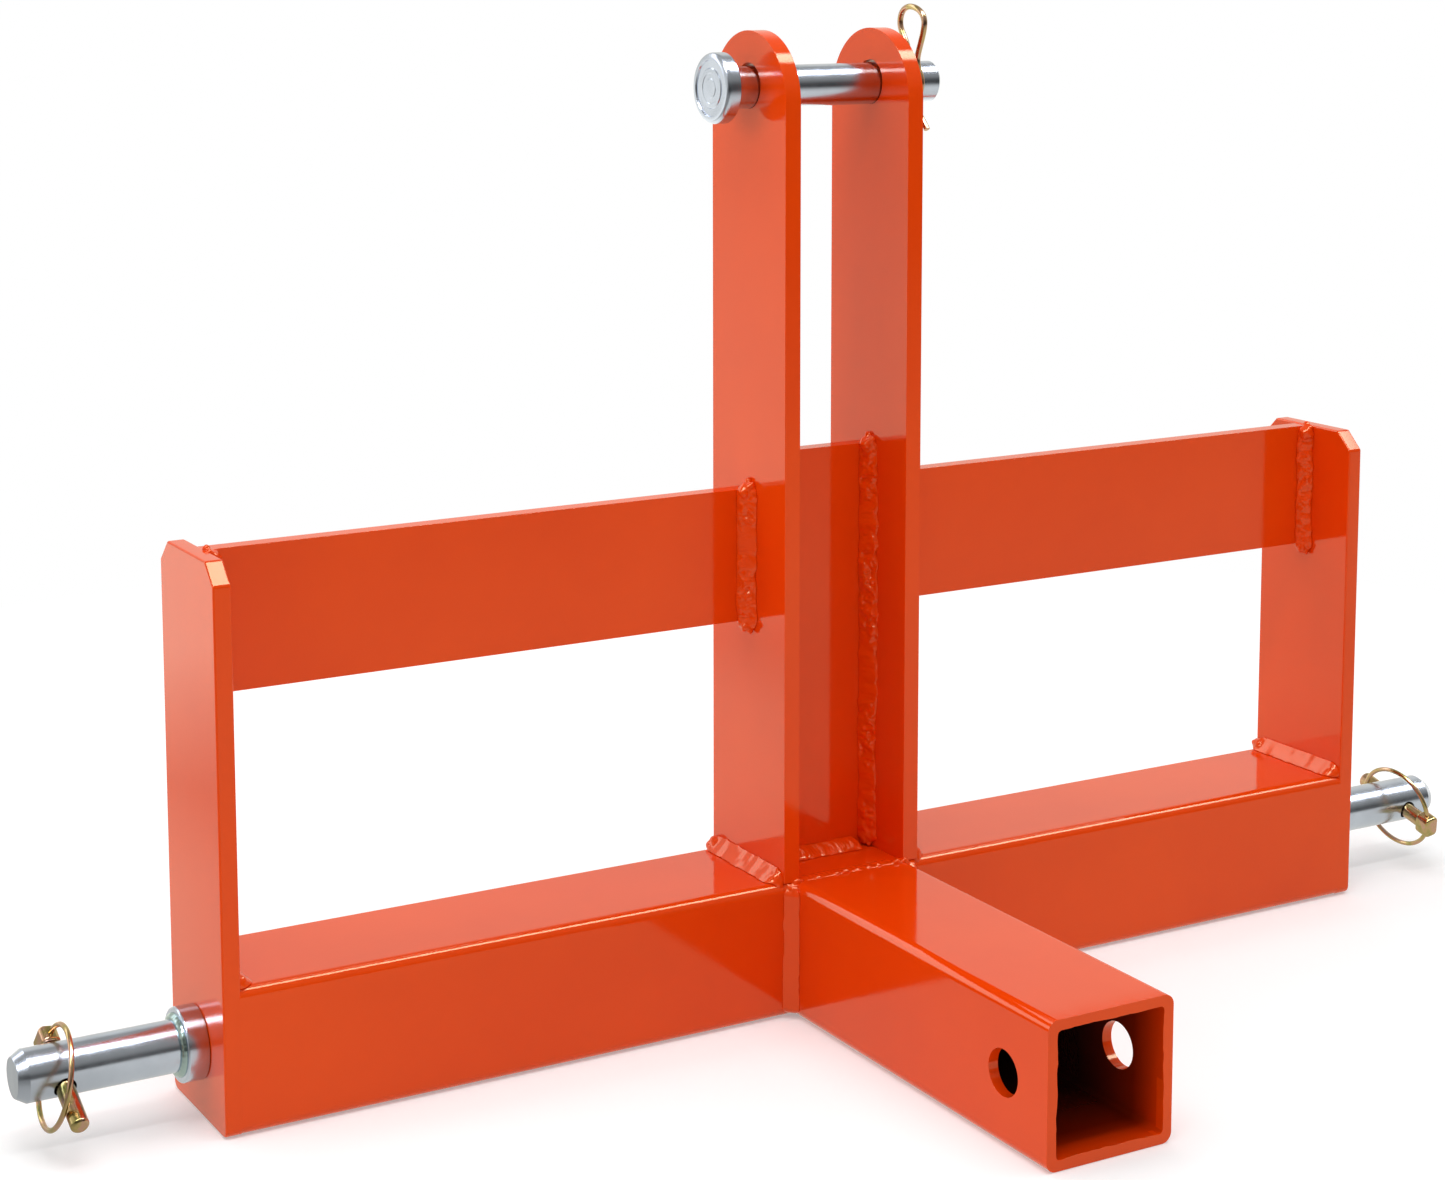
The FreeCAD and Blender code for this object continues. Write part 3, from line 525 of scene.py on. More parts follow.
class HITCH_OT_square_tubes(bpy.types.Operator):
    """Build the cross tube and the receiver tube"""
    bl_idname = "hitch.square_tubes"
    bl_label = "Square Tubes"

    def execute(self, context):
        film = settings("hitch_paint").film
        corners = [(TUBE_CORNER, 10)] * 4
        cross = bar("painted_cross_tube", "cross_tube", "X", corners, HIDDEN_END)
        soften(cross, film * 0.5)
        painted(cross, "cross_tube")

        receiver = bar("painted_receiver_tube", "receiver_tube", "Y", corners)
        cut(receiver, self.hollow())
        hole = named(frame["record"]["mounts"], "receiver_pin_hole")
        radius, reach = hole["dims"]["r_mm"] * MM, hole["dims"]["length_mm"] * MM * 1.2
        drill(receiver, Vector(hole["pos_m"]), radius, reach)
        soften(receiver, film)
        painted(receiver, "receiver_tube")
        self.shade_inside_walls(receiver)
        return {"FINISHED"}

    def hollow(self):
        """The space inside the receiver, with the slightly wavy edge that thick paint gives its mouth."""
        low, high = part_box("receiver_tube")
        mouth, back = low.y, high.y
        square = rounded_outline(
            (low.x + TUBE_WALL, low.z + TUBE_WALL), (high.x - TUBE_WALL, high.z - TUBE_WALL),
            [(TUBE_INNER_CORNER, 4)] * 4)
        outline = []
        for (x0, z0), (x1, z1) in zip(square, square[1:] + square[:1]):
            steps = MOUTH_ROWS if math.hypot(x1 - x0, z1 - z0) > 2 * TUBE_WALL else 1
            outline += [(x0 + (x1 - x0) * k / steps, z0 + (z1 - z0) * k / steps) for k in range(steps)]
        cutter = prism("cutter", outline, "Y", mouth - MOUTH_AHEAD, mouth)
        with editing(cutter) as mesh:
            bpy.ops.mesh.select_all(action="DESELECT")
            for face in mesh.faces:
                if face.normal.y > 0.9:
                    face.select = True
            for step in (MOUTH_EASE, back - mouth - MOUTH_EASE + MOUTH_AHEAD):
                bpy.ops.mesh.extrude_region_move(TRANSFORM_OT_translate={"value": (0, step, 0)})
        middle = (low.z + high.z) / 2
        for vertex in cutter.data.vertices:
            if vertex.co.y < mouth + MOUTH_AHEAD:
                spot = Vector((vertex.co.x, 0, vertex.co.z - middle))
                wave = sum(share * noise.noise(spot * ripples) for ripples, share in MOUTH_RIPPLES)
                vertex.co += spot.normalized() * MOUTH_WAVE * wave
        return cutter

    def shade_inside_walls(self, receiver):
        """Give the receiver's inner walls the coat whose painted shade darkens inwards."""
        receiver.data.materials.append(shared("powder_coat_fading"))
        low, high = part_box("receiver_tube")
        inside = TUBE_WALL - 0.1 * MM
        for face in receiver.data.polygons:
            in_width = low.x + inside < face.center.x < high.x - inside
            in_height = low.z + inside < face.center.z < high.z - inside
            if in_width and in_height and abs(face.normal.y) < 0.3:
                face.material_index = 1


class HITCH_OT_flat_bars(bpy.types.Operator):
    """Build the mast bars, the end plates, the rails and the web"""
    bl_idname = "hitch.flat_bars"
    bl_label = "Flat Bars"

    def execute(self, context):
        for side in ("left", "right"):
            self.mast_bar(side)
            self.end_plate(side)
            self.plate_between(f"{side}_rail", f"painted_{side}_rail")
        self.plate_between("mast_web_plate", "painted_web_plate")
        return {"FINISHED"}

    def finish(self, piece, node):
        """Round a bar's cut edges and paint it."""
        soften(piece, settings("hitch_paint").film)
        painted(piece, node)

    def mast_bar(self, side):
        """A mast bar with its round top and the hole in whose bottom the pin lies."""
        node = f"{side}_mast_bar"
        low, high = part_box(node)
        round_top = ((high.y - low.y) / 2, 40)
        mast = bar(f"painted_{node}", node, "X", [CUT_CORNER, CUT_CORNER, round_top, round_top])
        lift = MAST_HOLE / 2 - TOP_PIN / 2 - PIN_PLAY
        drill(mast, pin_axis() + Vector((0, 0, lift)), MAST_HOLE / 2, 4 * abs(low.x))
        self.finish(mast, node)

    def end_plate(self, side):
        """An end plate with two cropped and two rounded corners."""
        node = f"{side}_end_plate"
        corners = [FOOT_CORNER, FOOT_CORNER, CROPPED_CORNER, CROPPED_CORNER]
        self.finish(bar(f"painted_{node}", node, "X", corners), node)

    def plate_between(self, node, name):
        """A rail or the web, whose ends reach into the bars beside it."""
        self.finish(bar(name, node, "Y", [CUT_CORNER] * 4, HIDDEN_END), node)


# Weld beads

BEAD_DRIP = 4.5 * MM
BEAD_RISE = 3 * MM
BEAD_TAPER = 4 * MM
FACE_SHARE = 0.78

# The unevenness along a bead, as ripples per metre and share: of its toes, with a place in the noise, and of
# its ripples' spacing, its height and its rough patches. Its lumps have two rates and the finer one's share.

TOE_SWAY = (((55, 0.17), 0.3), ((210, 0.13), 4.1))
TOE_SEEDS = (0.0, 7.7)
JITTER = (110, 1.6)
SWELL = (70, 0.8)
PATCHES = (48, 2.2)
LUMPS = (230, 560, 0.7)

# Drops of weld metal, in millimetres but for the shares. An end drop: its shares of the bead's two legs, its
# height over the bead's end and its radius. A corner drop: its place from the tube's corner and its radius.
# A seam drop: its distance from the middle and its radius.

TOP_DROPS = (
    (0.42, 0.36, -3.4, 3.7), (0.20, 0.62, -0.6, 1.7), (0.75, 0.40, -2.2, 1.5), (0.15, 0.20, 0.6, 1.9))
FOOT_DROPS = ((0.42, 0.36, 2.2, 2.7), (0.30, 0.60, 0.4, 1.4))
CORNER_DROPS = ((0.8, -0.6, -3.4, 2.8), (-1.6, 0.6, -1.6, 2.4), (-4.2, 1.6, -0.8, 1.9), (2.4, 1.4, -2.2, 2.2))
SEAM_DROPS = (
    (-30, 1.8), (-27.5, 1.2), (-18, 1.0), (-8, 1.1), (-3.7, 1.7), (3, 1.1), (9.5, 1.0), (15, 1.2), (25, 1.9),
    (29.5, 1.7))


def along_noise(wave, s, seed, start):
    """Noise at a place along a bead."""
    ripples, share = wave
    return share * noise.noise(Vector((s * ripples, seed, start)))


def bead(start, run, toe_a, toe_b, crown, seed, out=None, root=None, pits=1.0, ripple=1.0, sway=1.0,
         taper=BEAD_TAPER):
    """A weld bead along run, between two toes that are given from the corner that it fills."""
    weld = settings("hitch_weld")
    length, along = run.length, run.normalized()
    out = out or (toe_a + toe_b).normalized()
    root = root or (toe_a + toe_b) * -0.12

    def toe(s, aside):
        """How far one toe reaches at a place along the bead."""
        return 1 + sway * sum(along_noise(wave, s, seed + aside, begin) for wave, begin in TOE_SWAY)

    def face_point(turn, s, reach_a, reach_b):
        """A point of the rippled face, which arches from one toe to the other."""
        across = 2 * turn / FACE_SHARE - 1
        point = toe_a * reach_a * (1 - across) / 2 + toe_b * reach_b * (1 + across) / 2
        arch = 1 - across * across
        jitter = along_noise(JITTER, s, seed, 2.2)
        wave = math.sin(2 * math.pi * (s / weld.pitch + 0.5 * across * across + jitter))
        spot = point + along * s
        coarse, fine, fine_share = LUMPS
        rough = noise.noise(spot * coarse + Vector((seed, 0, 0))) + fine_share * noise.noise(spot * fine)
        patch = min(1.0, max(0.12, 0.62 + along_noise(PATCHES, s, seed + 2.5, 9.0)))
        swell = 1 + sway * along_noise(SWELL, s, seed + 5.5, 1.0)
        height = crown * swell * arch + weld.ripple * ripple * arch * wave
        return point + out * (height + weld.pit * pits * patch * rough * (1 - across ** 4))

    def back_point(turn, reach_a, reach_b):
        """A point of the hidden back, from one toe through the root to the other."""
        back = (turn - FACE_SHARE) / (1 - FACE_SHARE)
        edge = toe_b * reach_b * (1 - 2 * back) if back < 0.5 else toe_a * reach_a * (2 * back - 1)
        return edge + root * (1 - abs(2 * back - 1))

    piece = primitive(bpy.ops.mesh.primitive_grid_add, "bead", x_subdivisions=weld.rings,
                      y_subdivisions=max(8, round(length / weld.step)), size=2)
    for vertex in piece.data.vertices:
        turn, s = (vertex.co.x + 1) / 2, (vertex.co.y + 1) / 2 * length
        near = min(s, length - s)
        close = math.sqrt(max(0.0, 1 - (1 - near / taper) ** 2)) if near < taper else 1.0
        reaches = [toe(s, aside) for aside in TOE_SEEDS]
        point = face_point(turn, s, *reaches) if turn <= FACE_SHARE else back_point(turn, *reaches)
        vertex.co = start + along * s + point * close + root * (1 - close) * 0.5
    with editing(piece):
        face_outwards(merge=0.02 * MM)
    return piece


def drop(centre, size, seed):
    """A drop of weld metal, with one radius or three in millimetres."""
    radii = size if isinstance(size, tuple) else (size, size, size)
    piece = primitive(bpy.ops.mesh.primitive_ico_sphere_add, "drop", subdivisions=4, radius=1)
    for vertex in piece.data.vertices:
        direction = vertex.co.normalized()
        swell = 1 + 0.30 * noise.noise(direction * 1.3 + Vector((seed, 0, 0)))
        vertex.co = centre + Vector(direction[i] * radii[i] * MM * swell for i in range(3))
    return piece


def run_together(beads, name, node, ease=2):
    """Beads and drops that have run into one weld, painted over."""
    whole = joined(beads, name)
    applied(whole, "REMESH", mode="VOXEL", voxel_size=settings("hitch_weld").grain, adaptivity=0.0)
    applied(whole, "SMOOTH", factor=0.5, iterations=ease)
    smooth(whole)
    painted(whole, node)


class HITCH_OT_weld_beads(bpy.types.Operator):
    """Lay the weld beads of the frame"""
    bl_idname = "hitch.weld_beads"
    bl_label = "Weld Beads"

    def execute(self, context):
        self.rail_beads()
        self.web_beads()
        self.foot_beads()
        self.receiver_beads()
        return {"FINISHED"}

    def upright(self, x, side, node, on_bar, on_plate, seed, raised=0.0, lowered=0.0, **more):
        """Beads in front of and behind an upright plate, at a bar's face, with drops at their ends."""
        low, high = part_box(node)
        foot, top = low.z + raised, high.z - lowered
        beads = []
        for place, way, under, over in ((low.y, -1, BEAD_DRIP, BEAD_RISE), (high.y, 1, 0, -1 * MM)):
            toe_a, toe_b = Vector((0, way * on_bar, 0)), Vector((side * on_plate, 0, 0))
            start, run = Vector((x, place, foot - under)), Vector((0, 0, top + over - foot + under))
            beads.append(bead(start, run, toe_a, toe_b, 0.7 * MM, seed + way, **more))
        for end, drops in ((top + BEAD_RISE, TOP_DROPS), (foot - BEAD_DRIP, FOOT_DROPS)):
            for aside, ahead, over, size in drops:
                centre = Vector((x + side * on_plate * aside, low.y - on_bar * ahead, end + over * MM))
                beads.append(drop(centre, size, seed + size))
        return beads

    def rail_beads(self):
        """The beads at both ends of the two rails."""
        for side, sign in SIDES:
            node = f"{side}_rail"
            mast_face, plate_face = ends_of(node, sign)
            beads = self.upright(mast_face, sign, node, 8 * MM, 6.6 * MM, 2.0 + sign, pits=1.4)
            beads += self.upright(plate_face, -sign, node, 6.5 * MM, 6.2 * MM, 12.0 + sign,
                                  lowered=BEAD_RISE, pits=1.4, sway=1.5)
            run_together(beads, f"{side}_rail_beads", f"{side}_rail_welds")

    def web_beads(self):
        """The beads of the web, up both mast bars and along its foot."""
        node = "mast_web_plate"
        low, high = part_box(node)
        beads = []
        for sign, face in ((-1, low.x), (1, high.x)):
            beads += self.upright(face, -sign, node, 9 * MM, 5 * MM, 21.0 + sign,
                                  raised=BEAD_DRIP + 1 * MM, pits=1.9, sway=1.3)
        inset = 5 * MM
        run = Vector((high.x - low.x - 2 * inset, 0, 0))
        for place, way in ((low.y, -1), (high.y, 1)):
            toe_a, toe_b = Vector((0, way * 9 * MM, 0)), Vector((0, 0, 5 * MM))
            beads.append(bead(Vector((low.x + inset, place, low.z)), run, toe_a, toe_b, 1.0 * MM, 31.0 + way,
                              pits=1.6, ripple=2.0, sway=1.1))
        run_together(beads, "web_beads", "web_welds", ease=1)

    def foot_beads(self):
        """The smooth beads across the cross tube's top, under the mast bars and the end plates."""
        tube_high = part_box("cross_tube")[1]
        mast_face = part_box("right_mast_bar")[1].x
        reach = tube_high.y - 0.4 * MM
        for name, node, face, side, extra in (
                ("mast_foot_beads", "mast_foot_welds", mast_face, 1, self.foot_drops(tube_high)),
                ("end_plate_beads", "end_plate_welds", tube_high.x, -1, [])):
            beads = list(extra)
            for sign in (-1, 1):
                toe_a, toe_b = Vector((0, 0, 7 * MM)), Vector((sign * side * 7.5 * MM, 0, 0))
                start, run = Vector((sign * face, -reach, tube_high.z)), Vector((0, 2 * reach, 0))
                beads.append(bead(start, run, toe_a, toe_b, -0.15 * MM, 41.0 + sign + side,
                                  pits=0.10, ripple=0.0, sway=0.45, taper=6 * MM))
                for way, size in ((1, 3.6), (-1, 2.2)):
                    centre = Vector((sign * (face + side * 1.8 * MM), way * (reach - 4 * MM),
                                     tube_high.z + 2.2 * MM))
                    beads.append(drop(centre, (size, size * 1.3, size), 8.0 + sign + way))
            run_together(beads, name, node, ease=9)

    def foot_drops(self, tube_high):
        """The drops under the mast bars' edges, in front and behind."""
        low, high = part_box("right_mast_bar")
        drops = []
        for sign in (-1, 1):
            for way in (-1, 1):
                edge = way * (tube_high.y - 2.6 * MM)
                drops.append(drop(Vector((sign * (low.x + high.x) / 2, edge, tube_high.z - 2.2 * MM)),
                                  (5.4, 2.2, 2.2), 3.0 + sign))
                for x, size in ((high.x + 1.2 * MM, 2.3), (low.x - 1.0 * MM, 1.9)):
                    centre = Vector((sign * x, edge - way * 0.3 * MM, tube_high.z - 0.9 * MM))
                    drops.append(drop(centre, size, 5.0 + sign + size))
        return drops

    def receiver_beads(self):
        """The dressed beads beside the receiver tube and the seams over and under it."""
        low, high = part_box("receiver_tube")
        face = high.y
        beads = []
        for sign in (-1, 1):
            edge = high.x * sign
            start, run = Vector((edge, face, low.z + 1.5 * MM)), Vector((0, 0, high.z - low.z - 2.8 * MM))
            toe_a, toe_b = Vector((0, -5.9 * MM, 0)), Vector((sign * 5.9 * MM, 0, 0))
            beads.append(bead(start, run, toe_a, toe_b, 0.1 * MM, 51.0 + sign,
                              pits=0.06, ripple=0.05, sway=0.55))
            for aside, ahead, over, size in CORNER_DROPS:
                centre = Vector((edge + sign * aside * MM, face + ahead * MM, high.z + over * MM))
                beads.append(drop(centre, size, 61.0 + sign + size))
        inset = 4.5 * MM
        run = Vector((high.x - low.x - 2 * inset, 0, 0))
        toe_a, toe_b = Vector((0, 5.5 * MM, 0)), Vector((0, -2.6 * MM, 0))
        for height, way, crown, rough in ((high.z, 1, 0.45 * MM, 0.9), (low.z + 0.2 * MM, -1, 0.0, 0.0)):
            start = Vector((low.x + inset, face + 1.2 * MM, height))
            out, root = Vector((0, 0, way)), Vector((0, 0, -5 * MM * way))
            beads.append(bead(start, run, toe_a, toe_b, crown, 71.0, out=out, root=root,
                              pits=0.7 * rough, ripple=2.0 * rough))
        for aside, size in SEAM_DROPS:
            centre = Vector((aside * MM, face + (0.6 - size / 3) * MM, high.z + 0.1 * MM))
            beads.append(drop(centre, (size * 1.25, size, size), 81.0 + aside))
        run_together(beads, "receiver_beads", "receiver_weld")


# Pins and clips

LOWER_PIN = 22.2 * MM
PIN_NOSE = 4.4 * MM
PIN_NOSE_DEPTH = 2.7 * MM
COLLAR_BEAD = 2.6 * MM
LINCH_HOLE = 9.5 * MM
LINCH_PIN = 7.9 * MM
LINCH_HEAD = (8.5 * MM, 11.2 * MM, 8.2 * MM)
LINCH_CORNER = 2.6 * MM
LINCH_EDGE = 1.3 * MM
LINCH_SEAT = 0.3 * MM
LINCH_REACH = 21.5 * MM
RING = 21 * MM
RING_WIRE = 2.3 * MM
RING_PLAY = 0.05 * MM
RING_END = 1 * MM
RING_SHANK_GAP = 0.3 * MM
CLIP_HOLE = 3.8 * MM
CLIP_WIRE = 2.8 * MM
CLIP_GAP = 0.15 * MM
HEAD_THICKNESS = 7.5 * MM

# The rings pressed into the top pin's head: millimetres in from its rim, and how deep they lie

HEAD_RINGS = (
    (3.3, 0.0), (3.6, 0.7), (6.8, 0.8), (7.2, 0.35), (9.0, 0.30), (9.3, 0.55), (11.5, 0.55), (11.8, 0.3))


def across_hole(pin, centre, along, radius):
    """A cross hole through a pin."""
    turn = Vector((0, 0, 1)).rotation_difference(along)
    drill(pin, centre, radius, 3 * LOWER_PIN, turn=turn.to_euler(), segments=64)


def bent_wire(name, knots, thickness):
    """A round wire through knots, each a place, the way that it runs there and the reach of its bend."""
    curve = bpy.data.curves.new(name, "CURVE")
    curve.dimensions = "3D"
    curve.bevel_depth = thickness / 2
    curve.bevel_resolution = 6
    curve.resolution_u = 24
    curve.use_fill_caps = True
    spline = curve.splines.new("BEZIER")
    spline.bezier_points.add(len(knots) - 1)
    for knot, (place, way, reach) in zip(spline.bezier_points, knots):
        knot.co = place
        knot.handle_left = place - way.normalized() * reach
        knot.handle_right = place + way.normalized() * reach
    holder = bpy.data.objects.new(name, curve)
    bpy.context.collection.objects.link(holder)
    activate(holder)
    bpy.ops.object.convert(target="MESH")
    wire = bpy.context.active_object
    with editing(wire):
        face_outwards(merge=SAME_PLACE)
    bpy.ops.object.shade_smooth_by_angle(angle=math.radians(50))
    return wire


def joint_of(side, name):
    """One of a side's joints."""
    return named(frame["joints"], f"{side}_{name}")


def linch_frame(side):
    """The ring's pivot in the head, the way up the linch pin and the way along its cross hole."""
    swing = joint_of(side, "ring_swing")
    return (Vector(swing["pos_m"]), Vector(joint_of(side, "linch_pull")["axis"]).normalized(),
            Vector(swing["axis"]).normalized())


class HITCH_OT_lower_pins(bpy.types.Operator):
    """Turn the lower link pins, their collars and the welds between them"""
    bl_idname = "hitch.lower_pins"
    bl_label = "Lower Link Pins"

    def execute(self, context):
        for side, sign in SIDES:
            self.pin(side, sign)
            self.collar(side, sign)
            nut = frame["nodes"][f"{side}_stud_nut"]
            nut.data.materials.clear()
            nut.data.materials.append(shared("bright_zinc_plate"))
        return {"FINISHED"}

    def axis(self, node):
        """A point half-way between the pins, on the axis of a node that is turned."""
        low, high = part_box(node)
        return Vector((0, 0, (low.z + high.z) / 2))

    def pin(self, side, sign):
        """One pin, from the end plate's face to its chamfered nose, with the linch pin's hole."""
        node = f"{side}_lower_pin"
        centre = self.axis(node)
        tip, seat = ends_of(node, sign)[1], ends_of(f"{side}_end_plate", sign)[1]
        radius = LOWER_PIN / 2
        flat = radius - PIN_NOSE_DEPTH
        pin = turned(f"zinc_{node}", centre, [
            (seat, radius), (tip - sign * PIN_NOSE, radius), (tip - sign * 0.4 * MM, flat + 0.35 * MM),
            (tip, flat)])
        place = Vector((joint_of(side, "ring_swing")["pos_m"][0], 0, centre.z))
        across_hole(pin, place, Vector(joint_of(side, "linch_pull")["axis"]), LINCH_HOLE / 2)
        soften(pin, 0.3 * MM, segments=2, sharp=20)
        dress(pin, "bright_zinc_plate", "frame", node)

    def collar(self, side, sign):
        """The collar, with its outer edge well rounded."""
        node = f"{side}_pin_collar"
        low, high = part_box(node)
        centre = self.axis(node)
        inner, outer = ends_of(node, sign)
        radius = (high.z - low.z) / 2
        stations = [(inner, radius * 0.8), (inner, radius - 0.5 * MM), (inner + sign * 0.5 * MM, radius)]
        stations += rounded_stations(outer, radius, 0.9 * MM, sign)
        stations += [(outer, radius * 0.8)]
        collar = turned(f"zinc_{node}", centre, stations)
        soften(collar, 0.15 * MM, segments=2, sharp=50)
        dress(collar, "bright_zinc_plate", "frame", node)
        self.collar_bead(side, sign, centre, outer - sign * 0.5 * MM)

    def collar_bead(self, side, sign, centre, x):
        """The rippled ring of weld in front of the collar."""
        ring = primitive(
            bpy.ops.mesh.primitive_torus_add, f"zinc_{side}_collar_bead", major_segments=240,
            minor_segments=20, major_radius=LOWER_PIN / 2, minor_radius=COLLAR_BEAD,
            location=centre + Vector((x, 0, 0)), rotation=ALONG_X)
        for vertex in ring.data.vertices:
            spot = vertex.co - centre
            angle = math.atan2(spot.z, spot.y)
            round_y, round_z = math.cos(angle), math.sin(angle)
            core = Vector((x, round_y * LOWER_PIN / 2, round_z * LOWER_PIN / 2))
            lumps = noise.noise(Vector((round_y * 2, round_z * 2, sign * 3.0)))
            wave = 0.97 + 0.012 * math.sin(angle * 30) + 0.10 * lumps
            vertex.co = centre + core + (spot - core) * wave
        smooth(ring)
        dress(ring, "welded_zinc_plate", "frame", f"{side}_collar_weld")


class HITCH_OT_linch_pins(bpy.types.Operator):
    """Build the two linch pins and their rings"""
    bl_idname = "hitch.linch_pins"
    bl_label = "Linch Pins"

    def execute(self, context):
        for side in ("left", "right"):
            self.linch(side)
            self.ring(side)
        return {"FINISHED"}

    def linch(self, side):
        """A linch pin, built along X from its tip to its head, with the ring's pivot along Y."""
        shank, nose = LINCH_PIN / 2, 1.0 * MM
        under = -LINCH_HEAD[0] / 2
        tip = under - LINCH_SEAT - LOWER_PIN - LINCH_REACH
        body = turned(f"gold_{side}_linch_pin", Vector((0, 0, 0)),
                      [(tip, shank - nose), (tip + nose, shank), (0, shank)], segments=64)
        head = primitive(bpy.ops.mesh.primitive_cube_add, "head", size=1, scale=LINCH_HEAD)
        with editing(head) as mesh:
            bpy.ops.mesh.select_all(action="DESELECT")
            for edge in mesh.edges:
                ends = [vertex.co for vertex in edge.verts]
                if abs(ends[0].x - ends[1].x) > LINCH_HEAD[0] / 2:
                    edge.select = True
            bpy.ops.mesh.bevel(offset=LINCH_CORNER, segments=8, affect="EDGES")
        soften(head, LINCH_EDGE, segments=4, sharp=50)
        pin = joined([body, head], f"gold_{side}_linch_pin")
        pivot, up, hinge = linch_frame(side)
        turn = Matrix((up, hinge, up.cross(hinge))).transposed()
        pin.data.transform(Matrix.Translation(pivot) @ turn.to_4x4())
        soften(pin, 0.35 * MM, segments=3, sharp=30)
        dress(pin, "yellow_zinc_plate", f"{side}_linch", f"{side}_linch_pin")

    def ring(self, side):
        """The ring of wire, shut over the lower link pin, whose two ends lie in the head."""
        pivot, up, hinge = linch_frame(side)
        mouth = LINCH_HEAD[1] / 2 + RING_PLAY
        middle = math.sqrt(RING ** 2 - mouth ** 2)
        beside = (LINCH_PIN + RING_WIRE) / 2 + RING_SHANK_GAP
        lean = math.asin(beside / (middle + RING)) * (1 if side == "left" else -1)
        down = -up * math.cos(lean) - hinge.cross(up) * math.sin(lean)
        centre = pivot + down * middle
        open_half = math.asin(mouth / RING)
        spans = 4
        span = (2 * math.pi - 2 * open_half) / spans
        reach = RING * 4 / 3 * math.tan(span / 4)
        knots = [(pivot + hinge * RING_END, hinge, RING_END)]
        for k in range(spans + 1):
            angle = open_half + span * k
            out = hinge * math.sin(angle) - down * math.cos(angle)
            knots.append((centre + out * RING, hinge * math.cos(angle) + down * math.sin(angle), reach))
        knots.append((pivot - hinge * RING_END, hinge, RING_END))
        ring = bent_wire(f"gold_{side}_linch_ring", knots, RING_WIRE)
        dress(ring, "yellow_zinc_plate", f"{side}_ring", f"{side}_linch_ring")


class HITCH_OT_top_pin(bpy.types.Operator):
    """Turn the top link pin and bend its hairpin"""
    bl_idname = "hitch.top_pin"
    bl_label = "Top Link Pin"

    def execute(self, context):
        low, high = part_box("top_pin")
        centre = pin_axis()
        radius, rim = TOP_PIN / 2, (high.z - low.z) / 2
        back, seat = low.x, low.x + HEAD_THICKNESS
        stations = [(high.x, radius - 1.5 * MM), (high.x - 1.5 * MM, radius), (seat, radius)]
        stations += [(seat, rim - 0.5 * MM), (seat - 0.5 * MM, rim)]
        stations += rounded_stations(back, rim, 2.4 * MM, -1)
        stations += [(back + sunk * MM, rim - inward * MM) for inward, sunk in HEAD_RINGS]
        pin = turned("zinc_top_pin", centre, stations, segments=128)
        clip_low, clip_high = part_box("hairpin_clip")
        x = (clip_low.x + clip_high.x) / 2
        across_hole(pin, Vector((x, centre.y, centre.z)), Vector((0, 0, 1)), CLIP_HOLE / 2)
        soften(pin, 0.2 * MM, segments=2, sharp=20)
        dress(pin, "bright_zinc_plate", "top_pin", "top_pin")
        self.hairpin(Vector((x, centre.y, centre.z)))
        return {"FINISHED"}

    def hairpin(self, centre):
        """The hairpin: a straight leg through the pin, a loop and a waved outer leg round the pin."""
        hug = (TOP_PIN + CLIP_WIRE) / 2 + CLIP_GAP
        stations = (
            ((0, -22), (0, 1), 6), ((0, 13), (0, 1), 6), ((6.6, 27.4), (0, 1), 5),
            ((-1.7, 34.8), (-1, 0), 4.6), ((-12.9, 27.4), (0, -1), 5), ((-7.5, 10.2), (0, -1), 4),
            ((-hug / MM, 0), (0, -1), 4.2), ((-7.5, -10.2), (0, -1), 3.5),
            ((-15.6, -21.2), (-0.6, -0.8), 3.5))
        knots = [(centre + Vector((0, y, z)) * MM, Vector((0, way_y, way_z)), reach * MM)
                 for (y, z), (way_y, way_z), reach in stations]
        clip = bent_wire("gold_hairpin", knots, CLIP_WIRE)
        dress(clip, "yellow_zinc_plate", "hairpin", "hairpin_clip")


# Stage

CAMERA_PLACE = (-0.6799, -1.0629, 0.4855)
CAMERA_YAW, CAMERA_PITCH, CAMERA_ROLL = 28.40, 7.22, -0.335
CAMERA_SHIFT = (0.0742, -0.20)
FLOOR_SIZE = 60
FLOOR_DROP = 0.3 * MM
FLOOR_FADE = (0.40, 0.95)

# What reflections see: shares of white from the front to the back of the floor, lower round the hitch as a
# painted shadow of it, and from level to overhead in the wall behind and in the room in front

FLOOR_DEPTH = (-3.0, 4.0)
FLOOR_SHARES = (
    (0.0, 0.03), (0.20, 0.20), (0.34, 0.44), (0.43, 0.40), (0.47, 0.68), (0.57, 0.72), (1.0, 0.55))
# In reflections the floor is dimmer where both its X and its Y lie below these ranges: a painted shadow of the
# left pin.
MIRRORED_PIN_SHADOW = (("X", -0.48, -0.30), ("Y", 0.40, 0.75))
WALL_SHARES = ((0.0, 0.82), (0.60, 0.88), (0.75, 0.42), (0.88, 0.42), (0.97, 0.60))
ROOM_SHARES = ((0.0, 0.06), (0.20, 0.10), (0.40, 0.30), (0.70, 0.40), (0.93, 0.50))
ROOM_TO_WALL = (-0.6, -0.1)

# The soft edges of the lights that only reflections see, as directions in which they grow from dark to full

SOFTBOX_EDGES = (("Y", -0.38, -0.296), ("Y", -0.044, -0.128), ("Z", 0.62, 0.78))
WINDOW_EDGES = (("X", 0.05, -0.12), ("Y", 0.60, 0.68), ("Y", 0.815, 0.785), ("Z", 0.02, 0.12))


